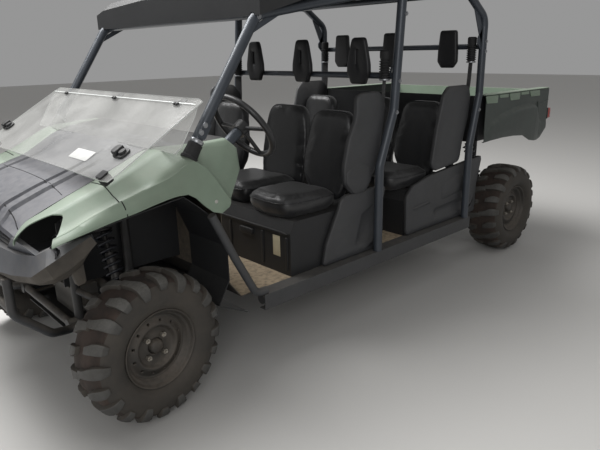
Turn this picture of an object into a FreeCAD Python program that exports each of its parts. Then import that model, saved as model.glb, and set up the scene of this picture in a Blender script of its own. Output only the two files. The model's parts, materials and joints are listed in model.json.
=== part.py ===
import FreeCAD, Part
import Sketcher
import math
import os

# Six-seat crew side-by-side utility vehicle, in millimetres.
# X points forward, Y to the left, Z up; the origin is on the ground under the middle of the box.

SIZES = {
    # whole vehicle
    "wheelbase": 2950, "front_axle_x": 1515, "nose_x": 1955, "seat_gap": 0.4,
    # chassis rails and the tubes across them
    "rail_y": 290, "rail_radius": 25, "rail_front_x": 1700, "rail_rear_x": -1740,
    "cross_radius": 18, "cross_pitch": 360, "cross_first_x": 1680, "cross_count": 10,
    "sill_front_x": 930, "sill_rear_x": -895, "shaft_ring_wall": 6, "shaft_play": 8,
    # suspension posts, arms and coil-over units
    "post_half_pitch": 128, "post_radius": 20, "post_top_z": 805,
    "arm_radius": 14, "arm_low_z": 338, "arm_high_z": 485, "kingpin_y": 600,
    "ball_low_z": 236, "ball_high_z": 399, "eye_radius": 24, "eye_height": 22, "ball_pin_radius": 9,
    "ball_pin_reach": 14, "leg_drop": 7,
    "shock_foot_y": 470, "shock_head_y": 338, "spring_radius": 34, "damper_radius": 19,
    # knuckles, uprights and axles
    "steer_rest_deg": 6, "column_radius": 19, "hub_radius": 38, "spindle_radius": 15,
    "steer_arm": 80, "steer_arm_z": 352, "tie_rod_radius": 8, "rack_play": 0.8,
    "rack_tube_radius": 24, "rack_tube_half": 305, "shaft_radius": 13, "boot_radius": 32,
    "shaft_start_y": 165,
    # wheels
    "tyre_radius": 317.5, "lug_height": 17, "wall_radius": 242, "wheel_z": 317.5, "facets": 20,
    "front_wheel_y": 665, "front_tyre_width": 205, "rear_wheel_y": 660, "rear_tyre_width": 250,
    "rim_radius": 166, "rim_barrel_radius": 152, "rim_wall": 5, "rim_bolt_circle": 55,
    "rim_hole_circle": 112, "rim_hole_radius": 8, "rim_hole_count": 12, "rim_share": 0.8, "bead_slope": 14,
    "bead_play": 0.5, "disc_depth": 34, "disc_dish": 12,
    # engine and gear cases
    "engine_length": 430, "engine_width": 420, "engine_height": 250, "engine_x": -850,
    # floor, sills and seat boxes
    "floor_z": 362, "floor_wall": 4, "floor_half": 640, "floor_front_x": 1010, "toe_x": 1092, "toe_z": 475,
    "dash_low_z": 811, "rocker_y": 718, "rocker_low_z": 285, "rocker_wall": 4,
    "entry_tube_radius": 19,
    "side_panel_thick": 27,
    "front_box_front": 690, "front_box_rear": 120, "front_box_top": 648, "box_wall": 5,
    "rear_box_front": -240, "rear_box_rear": -862, "rear_box_top": 640,
    # seats: three across, the middle one set back
    "cushion_depth": 400, "cushion_height": 120, "mid_width": 452, "seat_split": 6, "seat_side_gap": 10,
    "back_height": 524, "back_corner": 90, "back_thick": 88, "back_lean": 75, "mid_setback": 90,
    "front_back_x": 300, "rear_back_x": -548,
    # roll-over structure
    "rops_radius": 25, "rops_y": 700, "rops_top_z": 1820, "rail_drop": 45, "bend_radius": 90,
    "knee_x": 905, "knee_drop": 211, "rear_knee_drop": 180,
    "bar_radius": 17, "reel_radius": 20, "roof_bar_radius": 20,
    "front_bar_z": 1325, "rear_bar_z": 1470, "headrest_width": 165, "headrest_thick": 30,
    # body panels
    "panel_wall": 5, "dash_half": 600, "roof_half": 751, "roof_rise": 112, "screen_half": 727,
    "screen_wall": 5, "hood_gap": 2, "roof_notch": 3,
    # steering wheel
    "wheel_x": 800, "wheel_y": 440, "wheel_height": 1120, "wheel_ring": 178, "wheel_grip": 15,
    "wheel_tilt_deg": 35, "steer_column_radius": 26, "column_end_x": 1105,
    # cargo bed
    "bed_front_x": -965, "bed_rear_x": -1885, "bed_half": 685, "bed_floor_z": 866, "bed_wall": 5,
    "bed_top_z": 1160, "bed_pivot_x": -1700, "bed_pivot_z": 800, "pivot_radius": 12, "bed_rib_height": 7,
    "gate_thick": 30, "gate_lap": 2, "gate_hinge_radius": 9, "lamp_depth": 64.6, "ear_y": 325,
    "ear_thick": 12,
    # hitch and front guard
    "hitch_hole_radius": 9.6, "hitch_thick": 12, "hitch_width": 64, "hitch_hole_inset": 34,
    "hitch_reach": 215, "bumper_thick": 28, "liner_wall": 4, "liner_reach": 270, "grille_half": 390,
    "lamp_height": 40,
    "guard_radius": 18, "guard_y": 400, "guard_bar_z": 520, "fascia_low_z": 655, "fascia_high_z": 786,
}

doc = FreeCAD.newDocument("side_by_side_utv")
sheet = doc.addObject("Spreadsheet::Sheet", "sizes")
for row, (alias, value) in enumerate(SIZES.items(), start=1):
    sheet.set("A%d" % row, alias)
    sheet.set("B%d" % row, str(value))
    sheet.setAlias("B%d" % row, alias)
doc.recompute()

NODES = []


def size(alias):
    """One driving size, read from the sheet."""
    return float(getattr(sheet, alias))


def point(x, y, z):
    return FreeCAD.Vector(x, y, z)


def node(label, shape):
    """A sub-part whose shape is worked out from the sheet's sizes."""
    item = doc.addObject("Part::Feature", label)
    item.Label = label
    item.Shape = shape
    item.Placement = FreeCAD.Placement(item.Placement)
    NODES.append(item)
    return item


def kept(item, label):
    item.Label = label
    NODES.append(item)
    return item


def mirrored(shape):
    """The same piece on the other side of the vehicle."""
    return shape.mirror(point(0, 0, 0), point(0, 1, 0))


def both_sides(shape):
    return Part.makeCompound([shape, mirrored(shape)])


def joined(shapes):
    """Pieces welded or moulded in one."""
    body = shapes[0]
    if len(shapes) > 1:
        body = shapes[0].multiFuse(shapes[1:])
    return body.removeSplitter()


def rod(start, end, radius):
    line = end.sub(start)
    return Part.makeCylinder(radius, line.Length, start, line)


def box(low, high):
    return Part.makeBox(high[0] - low[0], high[1] - low[1], high[2] - low[2], point(*low))


def bent_tube(corners, radius, bend):
    """A round tube along straight runs joined by bends of one radius."""
    points = [point(*c) for c in corners]
    edges = []
    start = points[0]
    for before, corner, after in zip(points, points[1:], points[2:]):
        back = before.sub(corner).normalize()
        ahead = after.sub(corner).normalize()
        half_turn = (math.pi - back.getAngle(ahead)) / 2
        reach = bend * math.tan(half_turn)
        enter = corner + back * reach
        leave = corner + ahead * reach
        middle = corner + (back + ahead).normalize() * (bend / math.cos(half_turn) - bend)
        edges.append(Part.LineSegment(start, enter).toShape())
        edges.append(Part.Arc(enter, middle, leave).toShape())
        start = leave
    edges.append(Part.LineSegment(start, points[-1]).toShape())
    path = Part.Wire(edges)
    ring = Part.Wire(Part.Circle(points[0], points[1].sub(points[0]), radius).toShape())
    return path.makePipeShell([ring], True, False)


def outline_face(corners):
    points = [point(*c) for c in corners]
    return Part.Face(Part.makePolygon(points + points[:1]))


def side_plate(outline, y_low, y_high):
    """A plate whose outline is drawn from the side, as x and z."""
    face = outline_face([(x, y_low, z) for x, z in outline])
    return face.extrude(point(0, y_high - y_low, 0))


def flat_plate(outline, z_low, z_high):
    """A plate whose outline is drawn from above, as x and y."""
    face = outline_face([(x, y, z_low) for x, y in outline])
    return face.extrude(point(0, 0, z_high - z_low))


def thickened(line, wall):
    """An open line of two coordinates made into a closed strip of one wall."""
    inner = []
    for index, here in enumerate(line):
        normals = []
        for a, b in ((index - 1, index), (index, index + 1)):
            if a >= 0 and b < len(line):
                du, dv = line[b][0] - line[a][0], line[b][1] - line[a][1]
                reach = math.hypot(du, dv)
                normals.append((dv / reach, -du / reach))
        nu = sum(n[0] for n in normals) / len(normals)
        nv = sum(n[1] for n in normals) / len(normals)
        scale = wall / (nu * nu + nv * nv)
        inner.append((here[0] + nu * scale, here[1] + nv * scale))
    return list(line) + inner[::-1]


def skin(stations, wall):
    """A moulded panel through sections; each station is x and a line of y and z."""
    wires = []
    for x, line in stations:
        ring = [point(x, y, z) for y, z in thickened(line, wall)]
        wires.append(Part.makePolygon(ring + ring[:1]))
    return Part.makeLoft(wires, True, True)


def pad_body(label, role, outline, depth, centred):
    """A part-design body: one closed sketch padded to a size of the sheet."""
    body = doc.addObject("PartDesign::Body", label + "_body")
    sketch = body.newObject("Sketcher::SketchObject", label + "_sketch")
    plane = [f for f in body.Origin.OriginFeatures if f.Role == role][0]
    sketch.AttachmentSupport = [(plane, "")]
    sketch.MapMode = "FlatFace"
    for (u1, v1), (u2, v2) in zip(outline, outline[1:] + outline[:1]):
        sketch.addGeometry(Part.LineSegment(point(u1, v1, 0), point(u2, v2, 0)))
    count = len(outline)
    for index in range(count):
        sketch.addConstraint(Sketcher.Constraint("Coincident", index, 2, (index + 1) % count, 1))
    pad = body.newObject("PartDesign::Pad", label + "_pad")
    pad.Profile = sketch
    pad.setExpression("Length", depth)
    pad.Midplane = centred
    doc.recompute()
    return body


# Chassis: two rails, tubes across them and a sill tube each side

def cross_places():
    return [size("cross_first_x") - size("cross_pitch") * k for k in range(int(size("cross_count")))]


def rail_z():
    """The rails carry the floor pan, so their height follows it."""
    return size("floor_z") - size("floor_wall") - size("seat_gap") - size("rail_radius")


def sill_y():
    """The sill tube lies against the inside of the rocker cover."""
    return size("rocker_y") - size("rocker_wall") - size("seat_gap") - size("rail_radius")


def chassis_rails():
    rail_y, height, outer_y = size("rail_y"), rail_z(), sill_y()
    pieces = []
    for side in (1, -1):
        start = point(size("rail_front_x"), side * rail_y, height)
        pieces.append(rod(start, point(size("rail_rear_x"), side * rail_y, height), size("rail_radius")))
        start = point(size("sill_front_x"), side * outer_y, height)
        pieces.append(rod(start, point(size("sill_rear_x"), side * outer_y, height), size("rail_radius")))
    for x in cross_places() + [size("rail_rear_x") + 20]:
        inside_sill = size("sill_rear_x") < x < size("sill_front_x")
        reach = outer_y if inside_sill else rail_y
        pieces.append(rod(point(x, -reach, height), point(x, reach, height), size("cross_radius")))
    return joined(pieces)


# Posts over each axle that carry the arms, the coil-over units and the body

def rear_axle_x():
    return size("front_axle_x") - size("wheelbase")


def tower(axle_x, top_z):
    """One side's two posts and the tube along their tops."""
    y = size("rail_y")
    foot = rail_z() + size("rail_radius") - 10
    front, rear = axle_x + size("post_half_pitch"), axle_x - size("post_half_pitch")
    pieces = [rod(point(x, y, foot), point(x, y, top_z), size("post_radius")) for x in (front, rear)]
    pieces.append(rod(point(rear, y, top_z - 20), point(front, y, top_z - 20), size("post_radius") - 4))
    head = size("shock_head_y")
    pieces.append(box((axle_x - 20, y, top_z - 30), (axle_x + 20, head + 20, top_z - 16)))
    return joined(pieces)


def hitch_end_x():
    return size("rail_rear_x") - size("hitch_reach")


def hitch_tongue():
    """The flat plate at the tail that takes a hitch ball."""
    rear, thick, half = hitch_end_x(), size("hitch_thick"), size("hitch_width") / 2
    low = rail_z() + size("cross_radius") - 6
    return box((rear, -half, low), (size("rail_rear_x") + 50, half, low + thick))


def ball_hole():
    foot = point(hitch_end_x() + size("hitch_hole_inset"), 0, rail_z())
    return Part.makeCylinder(size("hitch_hole_radius"), 60, foot)


def shaft_passages(radius, half):
    """Cylinders across the rails where the half shafts go through them."""
    shapes, z = [], size("wheel_z")
    for x in (size("front_axle_x"), rear_axle_x()):
        for y in (size("rail_y"), -size("rail_y")):
            shapes.append(rod(point(x, y - half, z), point(x, y + half, z), radius))
    return shapes


def chassis_frame():
    front = tower(size("front_axle_x"), size("post_top_z"))
    bore = size("shaft_radius") + size("shaft_play")
    rings = shaft_passages(bore + size("shaft_ring_wall"), size("rail_radius"))
    frame = joined([chassis_rails(), front, mirrored(front), hitch_tongue()] + rings)
    return frame.cut([ball_hole()] + shaft_passages(bore, size("rail_radius") + 5))


node("chassis_frame", chassis_frame())


# Rear towers, with the two tubes that the bed rests on and its pivot tube

def subframe_z():
    return size("bed_floor_z") - size("seat_gap") - size("post_radius")


def bed_subframe():
    y, z = size("rail_y"), subframe_z()
    pivot_x, pivot_z = size("bed_pivot_x"), size("bed_pivot_z")
    foot = rail_z() + size("rail_radius") + size("seat_gap")
    axle = rear_axle_x()
    rear_tower = tower(axle, size("post_top_z"))
    pieces = [rear_tower.cut(box((axle - 300, 0, foot - 30), (axle + 300, 600, foot)))]
    pieces.append(rod(point(size("bed_front_x") - 15, y, z), point(pivot_x + 20, y, z), size("post_radius")))
    for x in (size("bed_front_x") - 30, pivot_x + 60):
        pieces.append(rod(point(x, y, foot), point(x, y, z), size("post_radius")))
    for x in (rear_axle_x() - size("post_half_pitch"), rear_axle_x() + size("post_half_pitch")):
        pieces.append(rod(point(x, y, size("post_top_z") - 10), point(x, y, z), size("post_radius")))
    ear = [(pivot_x + 75, z), (pivot_x + 75, pivot_z - 60), (pivot_x - 16, pivot_z - 16),
           (pivot_x - 16, pivot_z + 16), (pivot_x + 40, z)]
    pieces.append(side_plate(ear, y - 6, y + 6))
    half = joined(pieces)
    pin = rod(point(pivot_x, -345, pivot_z), point(pivot_x, 345, pivot_z), size("pivot_radius"))
    return joined([half, mirrored(half), pin])


node("bed_subframe", bed_subframe())


# Wishbone arms: two legs each that meet at the eye of the ball joint

def wishbone(axle_x, inner_z, eye_z):
    y = size("rail_y") + size("rail_radius") + size("seat_gap")
    king = size("kingpin_y")
    legs = []
    away = math.copysign(size("leg_drop"), eye_z - size("wheel_z"))
    end = point(axle_x, king, eye_z + away)
    for offset in (size("post_half_pitch"), -size("post_half_pitch")):
        legs.append(rod(point(axle_x + offset, y, inner_z), end, size("arm_radius")))
    eye = Part.makeCylinder(size("eye_radius"), size("eye_height"),
                            point(axle_x, king, eye_z - size("eye_height") / 2))
    foot = size("shock_foot_y")
    share = (king - foot) / (king - y)
    height = eye_z + (inner_z - eye_z) * share
    half = size("post_half_pitch") * share
    plate = box((axle_x - half, foot - 22, height - 6), (axle_x + half, foot + 22, height + 6))
    beside_rail = box((axle_x - 200, 0, inner_z - 50), (axle_x + 200, y, inner_z + 50))
    return joined(legs + [eye, plate]).cut(beside_rail)


def arm_pair(axle_x):
    low = wishbone(axle_x, size("arm_low_z"), size("ball_low_z"))
    high = wishbone(axle_x, size("arm_high_z"), size("ball_high_z"))
    return [low, high, mirrored(low), mirrored(high)]


# Coil-over units: a damper tube with its coil spring drawn as one sleeve

def coil_over(axle_x):
    y = size("rail_y") + size("rail_radius") + size("seat_gap")
    king, foot_y = size("kingpin_y"), size("shock_foot_y")
    share = (king - foot_y) / (king - y)
    plate_z = size("ball_high_z") + (size("arm_high_z") - size("ball_high_z")) * share + 6
    head_y, bracket_z = size("shock_head_y"), size("post_top_z") - 30
    lean = math.atan2(foot_y - head_y, bracket_z - plate_z)
    corner = size("damper_radius") * math.sin(lean) + size("seat_gap")
    foot = point(axle_x, foot_y, plate_z + corner)
    head = point(axle_x, head_y, bracket_z - corner)
    line = head.sub(foot)
    damper = rod(foot, head, size("damper_radius"))
    turns = []
    for share_low in (0.16, 0.30, 0.44, 0.58, 0.72, 0.86):
        turns.append(rod(foot + line * share_low, foot + line * (share_low + 0.06), size("spring_radius")))
    return joined([damper] + turns)


def coil_overs():
    shapes = [coil_over(size("front_axle_x")), coil_over(rear_axle_x())]
    return Part.makeCompound(shapes + [mirrored(s) for s in shapes])


node("coil_overs", coil_overs())


# Steering knuckles: a column between the two ball joints, a hub and the wheel's spindle

def column_span():
    half, gap = size("eye_height") / 2, size("seat_gap")
    return size("ball_low_z") + half + gap, size("ball_high_z") - half - gap


def upright(axle_x, spindle_end):
    low, high = column_span()
    king, z, reach = size("kingpin_y"), size("wheel_z"), size("ball_pin_reach")
    pin = Part.makeCylinder(size("ball_pin_radius"), high - low, point(axle_x, king, low))
    foot, length = point(axle_x, king, low + reach), high - low - 2 * reach
    column = Part.makeCylinder(size("column_radius"), length, foot)
    hub = rod(point(axle_x, king - 24, z), point(axle_x, king + 26, z), size("hub_radius"))
    spindle = rod(point(axle_x, king, z), point(axle_x, spindle_end, z), size("spindle_radius"))
    return joined([pin, column, hub, spindle])


def turned(shape, y, degrees):
    """Turned about the vertical steering axis at one side's kingpin."""
    copy = shape.copy()
    copy.rotate(point(size("front_axle_x"), y, 0), point(0, 0, 1), degrees)
    return copy


def hub_back(width):
    """How far the rim's hub starts outside the middle of a wheel of that width."""
    face = size("rim_share") * width / 2 - size("disc_depth")
    return face - size("disc_dish") - size("rim_wall")


def spindle_end(wheel_y, width):
    return wheel_y + hub_back(width) - 2 - size("seat_gap")


def knuckle():
    axle_x, king, arm = size("front_axle_x"), size("kingpin_y"), size("steer_arm")
    top = size("steer_arm_z")
    lever = box((axle_x - arm - 12, king - 12, top - 12), (axle_x, king + 12, top))
    return joined([upright(axle_x, spindle_end(size("front_wheel_y"), size("front_tyre_width"))), lever])


left_knuckle = knuckle()
node("knuckle_left", turned(left_knuckle, size("kingpin_y"), size("steer_rest_deg")))
node("knuckle_right", turned(mirrored(left_knuckle), -size("kingpin_y"), size("steer_rest_deg")))


# The arms of all four corners, with the fixed uprights of the rear axle

def suspension_arms():
    rear_upright = upright(rear_axle_x(), spindle_end(size("rear_wheel_y"), size("rear_tyre_width")))
    arms = arm_pair(size("front_axle_x")) + arm_pair(rear_axle_x())
    return Part.makeCompound(arms + [rear_upright, mirrored(rear_upright)])


node("suspension_arms", suspension_arms())


# Steering rack bar with its tie rods, and the tube it slides in

def rack_x():
    return size("front_axle_x") - size("steer_arm") * math.cos(math.radians(size("steer_rest_deg")))


def tie_rod_z():
    return rail_z() + size("rail_radius") + size("seat_gap") + size("rack_tube_radius")


def rack_bar():
    shift = -size("steer_arm") * math.sin(math.radians(size("steer_rest_deg")))
    x, z, king = rack_x(), tie_rod_z(), size("kingpin_y")
    left, right = point(x, king + shift, z), point(x, -king + shift, z)
    pieces = [rod(right, left, size("tie_rod_radius"))]
    foot = size("steer_arm_z") + size("seat_gap")
    for end in (left, right):
        pieces.append(Part.makeCylinder(11, z + 10 - foot, point(end.x, end.y, foot)))
    return joined(pieces)


node("rack_bar", rack_bar())


def rack_tube():
    x, z, half = rack_x(), tie_rod_z(), size("rack_tube_half")
    outer = rod(point(x, -half, z), point(x, half, z), size("rack_tube_radius"))
    bore = rod(point(x, -half - 5, z), point(x, half + 5, z), size("tie_rod_radius") + size("rack_play"))
    return outer.cut(bore)



# Drive: front differential, rear gear case, half shafts with their boots

def gear_case(axle_x, half_x, half_y, shaft_x):
    """A cast case that hangs from a plate over the rails, with an axle nose each side."""
    plate_z = rail_z() + size("rail_radius") + size("seat_gap")
    core = box((axle_x - half_x, -half_y, size("wheel_z") - 75), (axle_x + half_x, half_y, plate_z + 60))
    rail_y, plate_half = size("rail_y"), half_x - 8
    plate = box((axle_x - plate_half, -rail_y, plate_z), (axle_x + plate_half, rail_y, plate_z + 8))
    reach = size("shaft_start_y") - size("seat_gap")
    nose = rod(point(shaft_x, -reach, size("wheel_z")), point(shaft_x, reach, size("wheel_z")), 42)
    return joined([core, plate, nose])


def half_shafts(axle_x):
    start, end = size("shaft_start_y"), size("kingpin_y") - 52
    z = size("wheel_z")
    pieces = [rod(point(axle_x, start, z), point(axle_x, end, z), size("shaft_radius"))]
    for foot, step in ((start, 1), (end, -1)):
        lip, neck = point(axle_x, foot, z), size("shaft_radius") + 4
        pieces.append(Part.makeCone(size("boot_radius"), neck, 60, lip, point(0, step, 0)))
    return joined(pieces)


def gear_cases():
    front_x, rear_x = size("front_axle_x"), rear_axle_x()
    return Part.makeCompound([gear_case(front_x + 22, 62, 110, front_x), gear_case(rear_x, 96, 130, rear_x),
                              rack_tube()])


def drive_shafts():
    shapes = [half_shafts(size("front_axle_x")), half_shafts(rear_axle_x())]
    return Part.makeCompound(shapes + [mirrored(s) for s in shapes])


node("gear_cases", gear_cases())
node("half_shafts", drive_shafts())

engine = doc.addObject("Part::Box", "engine")
engine.setExpression("Length", "sizes.engine_length")
engine.setExpression("Width", "sizes.engine_width")
engine.setExpression("Height", "sizes.engine_height")
engine.setExpression(".Placement.Base.x", "sizes.engine_x")
engine.setExpression(".Placement.Base.y", "-sizes.engine_width / 2")
engine.setExpression(".Placement.Base.z",
                     "sizes.floor_z - sizes.floor_wall - sizes.rail_radius + sizes.cross_radius")
kept(engine, "engine_block")


# Tyres: a faceted carcass between the beads, with block lugs over tread and shoulder

def ring_points(radius, y, count):
    """The corners of one ring about the axle, with a flat at the bottom."""
    ring = []
    for k in range(count):
        angle = (k + 0.5) * 2 * math.pi / count
        ring.append(point(radius * math.cos(angle), y, radius * math.sin(angle)))
    return ring


def flat_face(corners):
    return Part.Face(Part.makePolygon(list(corners) + [corners[0]]))


def ruled_solid(rings):
    """Coaxial rings of one count joined by flat faces, with a flat cap at each end."""
    faces = [flat_face(rings[0]), flat_face(rings[-1])]
    count = len(rings[0])
    for near, far in zip(rings, rings[1:]):
        for k in range(count):
            faces.append(flat_face([near[k], near[(k + 1) % count], far[(k + 1) % count], far[k]]))
    return Part.Solid(Part.Shell(faces))


def carcass(width):
    # columns: share of the half width, radius
    tread = size("tyre_radius") - size("lug_height")
    bead = size("rim_share")
    profile = ((-bead, size("rim_radius") + 6), (-1.00, size("wall_radius")), (-0.74, tread), (0.74, tread),
               (1.00, size("wall_radius")), (bead, size("rim_radius") + 6))
    count = int(size("facets"))
    rings = [ring_points(radius, share * width / 2, count) for share, radius in profile]
    # the bead follows the rim's facets and clears them by the play
    lip = size("rim_radius") + size("bead_play")
    seat = size("rim_barrel_radius") + size("bead_play")
    half = bead * width / 2
    step = half - size("bead_slope")
    seats = ((-width, lip), (-half, lip), (-step, seat), (step, seat), (half, lip), (width, lip))
    hollow = [ring_points(radius, y, count) for y, radius in seats]
    return ruled_solid(rings).cut(ruled_solid(hollow))


def lug(width, side):
    """One block from past the middle of the tread over the shoulder; the two sides lean apart."""
    half, lean = 16, 20 * side
    top = size("tyre_radius")
    low = size("wall_radius") + 2
    inner, edge, outer = -0.10 * width, 0.40 * width, 0.485 * width
    base = [point(-half + lean, side * inner, low), point(half + lean, side * inner, low),
            point(half - lean, side * outer, low), point(-half - lean, side * outer, low)]
    foot = Part.Face(Part.makePolygon(base + base[:1]))
    block = foot.extrude(point(0, 0, top - low))
    bevel = [point(-200, side * edge, top + 1), point(-200, side * (outer + 5), top + 1),
             point(-200, side * (outer + 5), top - 48)]
    wedge = Part.Face(Part.makePolygon(bevel + bevel[:1])).extrude(point(400, 0, 0))
    return block.cut(wedge)


def tyre(width):
    body = carcass(width)
    count = int(size("facets"))
    lugs = []
    for side in (1, -1):
        block = lug(width, side)
        for k in range(count):
            copy = block.copy()
            copy.rotate(point(0, 0, 0), point(0, 1, 0), k * 360 / count)
            lugs.append(copy)
    return body.multiFuse(lugs)


# Rims: a pressed steel barrel with a dished disc, a ring of holes and four studs

def pressed_rim(width):
    count = int(size("facets"))
    half, wall = size("rim_share") * width / 2, size("rim_wall")
    lip, barrel, step = size("rim_radius"), size("rim_barrel_radius"), half - size("bead_slope")
    outer = [ring_points(radius, y, count) for radius, y in ((lip, -half), (barrel, -step), (barrel, step),
                                                             (lip, half))]
    face, dish, back_y = half - size("disc_depth"), size("disc_dish"), hub_back(width)
    # columns: radius, distance behind the disc's face, from the outer lip to the middle
    front = ((lip - wall, half + 0.5), (barrel - wall, half - 16), (128, face - 6), (98, face + 8),
             (82, face - dish))
    pocket = [ring_points(radius, y, count) for radius, y in front]
    back = ((86, back_y), (98, face + 2), (128, face - 12), (barrel - wall, face - 20),
            (barrel - wall, -step), (lip - wall, -half - 0.5))
    cavity = [ring_points(radius, y, count) for radius, y in back]
    solid = ruled_solid(outer).cut(ruled_solid(pocket)).cut(ruled_solid(cavity))
    holes = []
    for k in range(int(size("rim_hole_count"))):
        angle = 2 * math.pi * k / size("rim_hole_count")
        x, z = size("rim_hole_circle") * math.cos(angle), size("rim_hole_circle") * math.sin(angle)
        corner = [point(x + size("rim_hole_radius") * math.cos(a * math.pi / 3), face - 40,
                        z + size("rim_hole_radius") * math.sin(a * math.pi / 3)) for a in range(6)]
        holes.append(Part.Face(Part.makePolygon(corner + corner[:1])).extrude(point(0, 80, 0)))
    solid = solid.cut(holes)
    hub = ruled_solid([ring_points(36, back_y - 22, 12), ring_points(36, back_y + 2, 12)])
    cap = ruled_solid([ring_points(30, back_y, 12), ring_points(26, face + 10, 12)])
    nuts = []
    for k in range(4):
        angle = math.pi / 4 + k * math.pi / 2
        x, z = size("rim_bolt_circle") * math.cos(angle), size("rim_bolt_circle") * math.sin(angle)
        corner = [point(x + 11 * math.cos(a * math.pi / 3), face - 13, z + 11 * math.sin(a * math.pi / 3))
                  for a in range(6)]
        nuts.append(Part.Face(Part.makePolygon(corner + corner[:1])).extrude(point(0, 15, 0)))
    bore = rod(point(0, back_y - 30, 0), point(0, back_y - 2, 0), size("spindle_radius") + size("seat_gap"))
    return solid.multiFuse([hub, cap] + nuts).cut(bore)


def placed(shape, x, y, steer):
    """A wheel piece put on its axle, turned with the steering where it has one."""
    copy = shape.copy()
    copy.translate(point(x, y, size("wheel_z")))
    if steer:
        king = math.copysign(size("kingpin_y"), y)
        copy = turned(copy, king, size("steer_rest_deg"))
    return copy


front_tyre, rear_tyre = tyre(size("front_tyre_width")), tyre(size("rear_tyre_width"))
front_rim, rear_rim = pressed_rim(size("front_tyre_width")), pressed_rim(size("rear_tyre_width"))
# columns: name, tyre, rim, axle, distance from the middle, steered
WHEELS = (("front_left", front_tyre, front_rim, size("front_axle_x"), size("front_wheel_y"), True),
          ("front_right", front_tyre, front_rim, size("front_axle_x"), -size("front_wheel_y"), True),
          ("rear_left", rear_tyre, rear_rim, rear_axle_x(), size("rear_wheel_y"), False),
          ("rear_right", rear_tyre, rear_rim, rear_axle_x(), -size("rear_wheel_y"), False))
for name, tyre_shape, rim_shape, axle, offset, steered in WHEELS:
    if offset < 0:
        tyre_shape, rim_shape = mirrored(tyre_shape), mirrored(rim_shape)
    node("tyre_" + name, placed(tyre_shape, axle, offset, steered))
    node("rim_" + name, placed(rim_shape, axle, offset, steered))


# Floor pan with the toe board and the wall up to the dash

def floor_line():
    z = size("floor_z")
    return [(size("rear_box_rear"), z), (size("floor_front_x"), z), (size("toe_x"), size("toe_z")),
            (size("toe_x") + 4, size("dash_low_z") - size("seat_gap"))]


floor_sheet = pad_body("floor_sheet", "XZ_Plane", thickened(floor_line(), size("floor_wall")),
                       "sizes.floor_half * 2", True)
engine_hatch = doc.addObject("Part::Box", "engine_hatch")
engine_hatch.setExpression("Length", "sizes.engine_length + 16")
engine_hatch.setExpression("Width", "sizes.engine_width + 20")
engine_hatch.setExpression("Height", "sizes.floor_wall * 4")
engine_hatch.setExpression(".Placement.Base.x", "sizes.engine_x - 6")
engine_hatch.setExpression(".Placement.Base.y", "-sizes.engine_width / 2 - 10")
engine_hatch.setExpression(".Placement.Base.z", "sizes.floor_z - sizes.floor_wall * 2")
floor = doc.addObject("Part::Cut", "floor_cut")
floor.Base = floor_sheet
floor.Tool = engine_hatch
doc.recompute()
kept(floor, "floor_pan")


# Rocker covers over the sill tubes

def rocker():
    wall, low = size("rocker_wall"), size("rocker_low_z")
    outer, inner, top = size("rocker_y"), size("floor_half") + size("seat_gap"), size("floor_z")
    ring = [(inner, top), (outer, top), (outer, low), (outer - 40, low), (outer - 40, low + wall),
            (outer - wall, low + wall), (outer - wall, top - wall), (inner, top - wall)]
    face = outline_face([(size("sill_rear_x"), y, z) for y, z in ring])
    return face.extrude(point(size("sill_front_x") - size("sill_rear_x"), 0, 0))


def entry_post():
    """The stay that runs from the front end of the sill up to the fender."""
    y, radius, start = size("rops_y"), size("entry_tube_radius"), size("sill_front_x")
    foot = size("floor_z") - size("rocker_wall") + radius
    corners = [(start - 25, y, foot), (start + 38, y, foot), (1079, y, 585), (1188, y, 806)]
    return bent_tube(corners, radius, 60)


def rocker_cover():
    return joined([rocker(), entry_post()])


node("rocker_covers", both_sides(rocker_cover()))


# Seat boxes: moulded housings, open below, closed on top

def seat_box(front, rear, top):
    half, wall, floor_top = size("floor_half"), size("box_wall"), size("floor_z") + size("seat_gap")
    outer = [(front, floor_top), (front, top - 60), (front - 30, top), (rear, top), (rear, floor_top)]
    inner = [(front - wall, floor_top - 1), (front - wall, top - 62), (front - 32, top - wall),
             (rear + wall, top - wall), (rear + wall, floor_top - 1)]
    shell = side_plate(outer, -half, half).cut(side_plate(inner, -half + wall, half - wall))
    return shell


def seat_boxes():
    front = seat_box(size("front_box_front"), size("front_box_rear"), size("front_box_top"))
    rear = seat_box(size("rear_box_front"), size("rear_box_rear"), size("rear_box_top"))
    return Part.makeCompound([front, rear])


node("seat_boxes", seat_boxes())


# Seat cushions and backs, three across, kept as plain closed solids

def seat_row():
    """The left edge and right edge of each of three seats, and how far each is set back."""
    half_mid, gap = size("mid_width") / 2, size("seat_split")
    outer = size("floor_half") - size("seat_side_gap")
    return ((half_mid + gap, outer, 0), (-half_mid, half_mid, size("mid_setback")),
            (-outer, -half_mid - gap, 0))


def cushions(back_x, low_z):
    shapes = []
    for right, left, setback in seat_row():
        rear = back_x - setback
        front = back_x + size("cushion_depth") - setback / 2
        top = low_z + size("cushion_height")
        outline = [(rear, low_z), (front - 20, low_z), (front, low_z + 30), (front, top - 25),
                   (front - 30, top), (rear, top - 25)]
        shapes.append(side_plate(outline, right, left))
    return shapes


def backs(back_x, low):
    shapes = []
    top = low + size("back_height")
    for right, left, setback in seat_row():
        x, lean, thick = back_x - setback, size("back_lean"), size("back_thick")
        outline = [(x - thick, low), (x - 2, low), (x - lean + 4, top - 25), (x - lean - 20, top),
                   (x - lean - thick + 20, top), (x - lean - thick, top - 25)]
        pad = side_plate(outline, right + 8, left - 8)
        shapes.append(pad.common(back_front(right + 8, left - 8, low, top, x - 400)))
    return shapes


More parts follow.
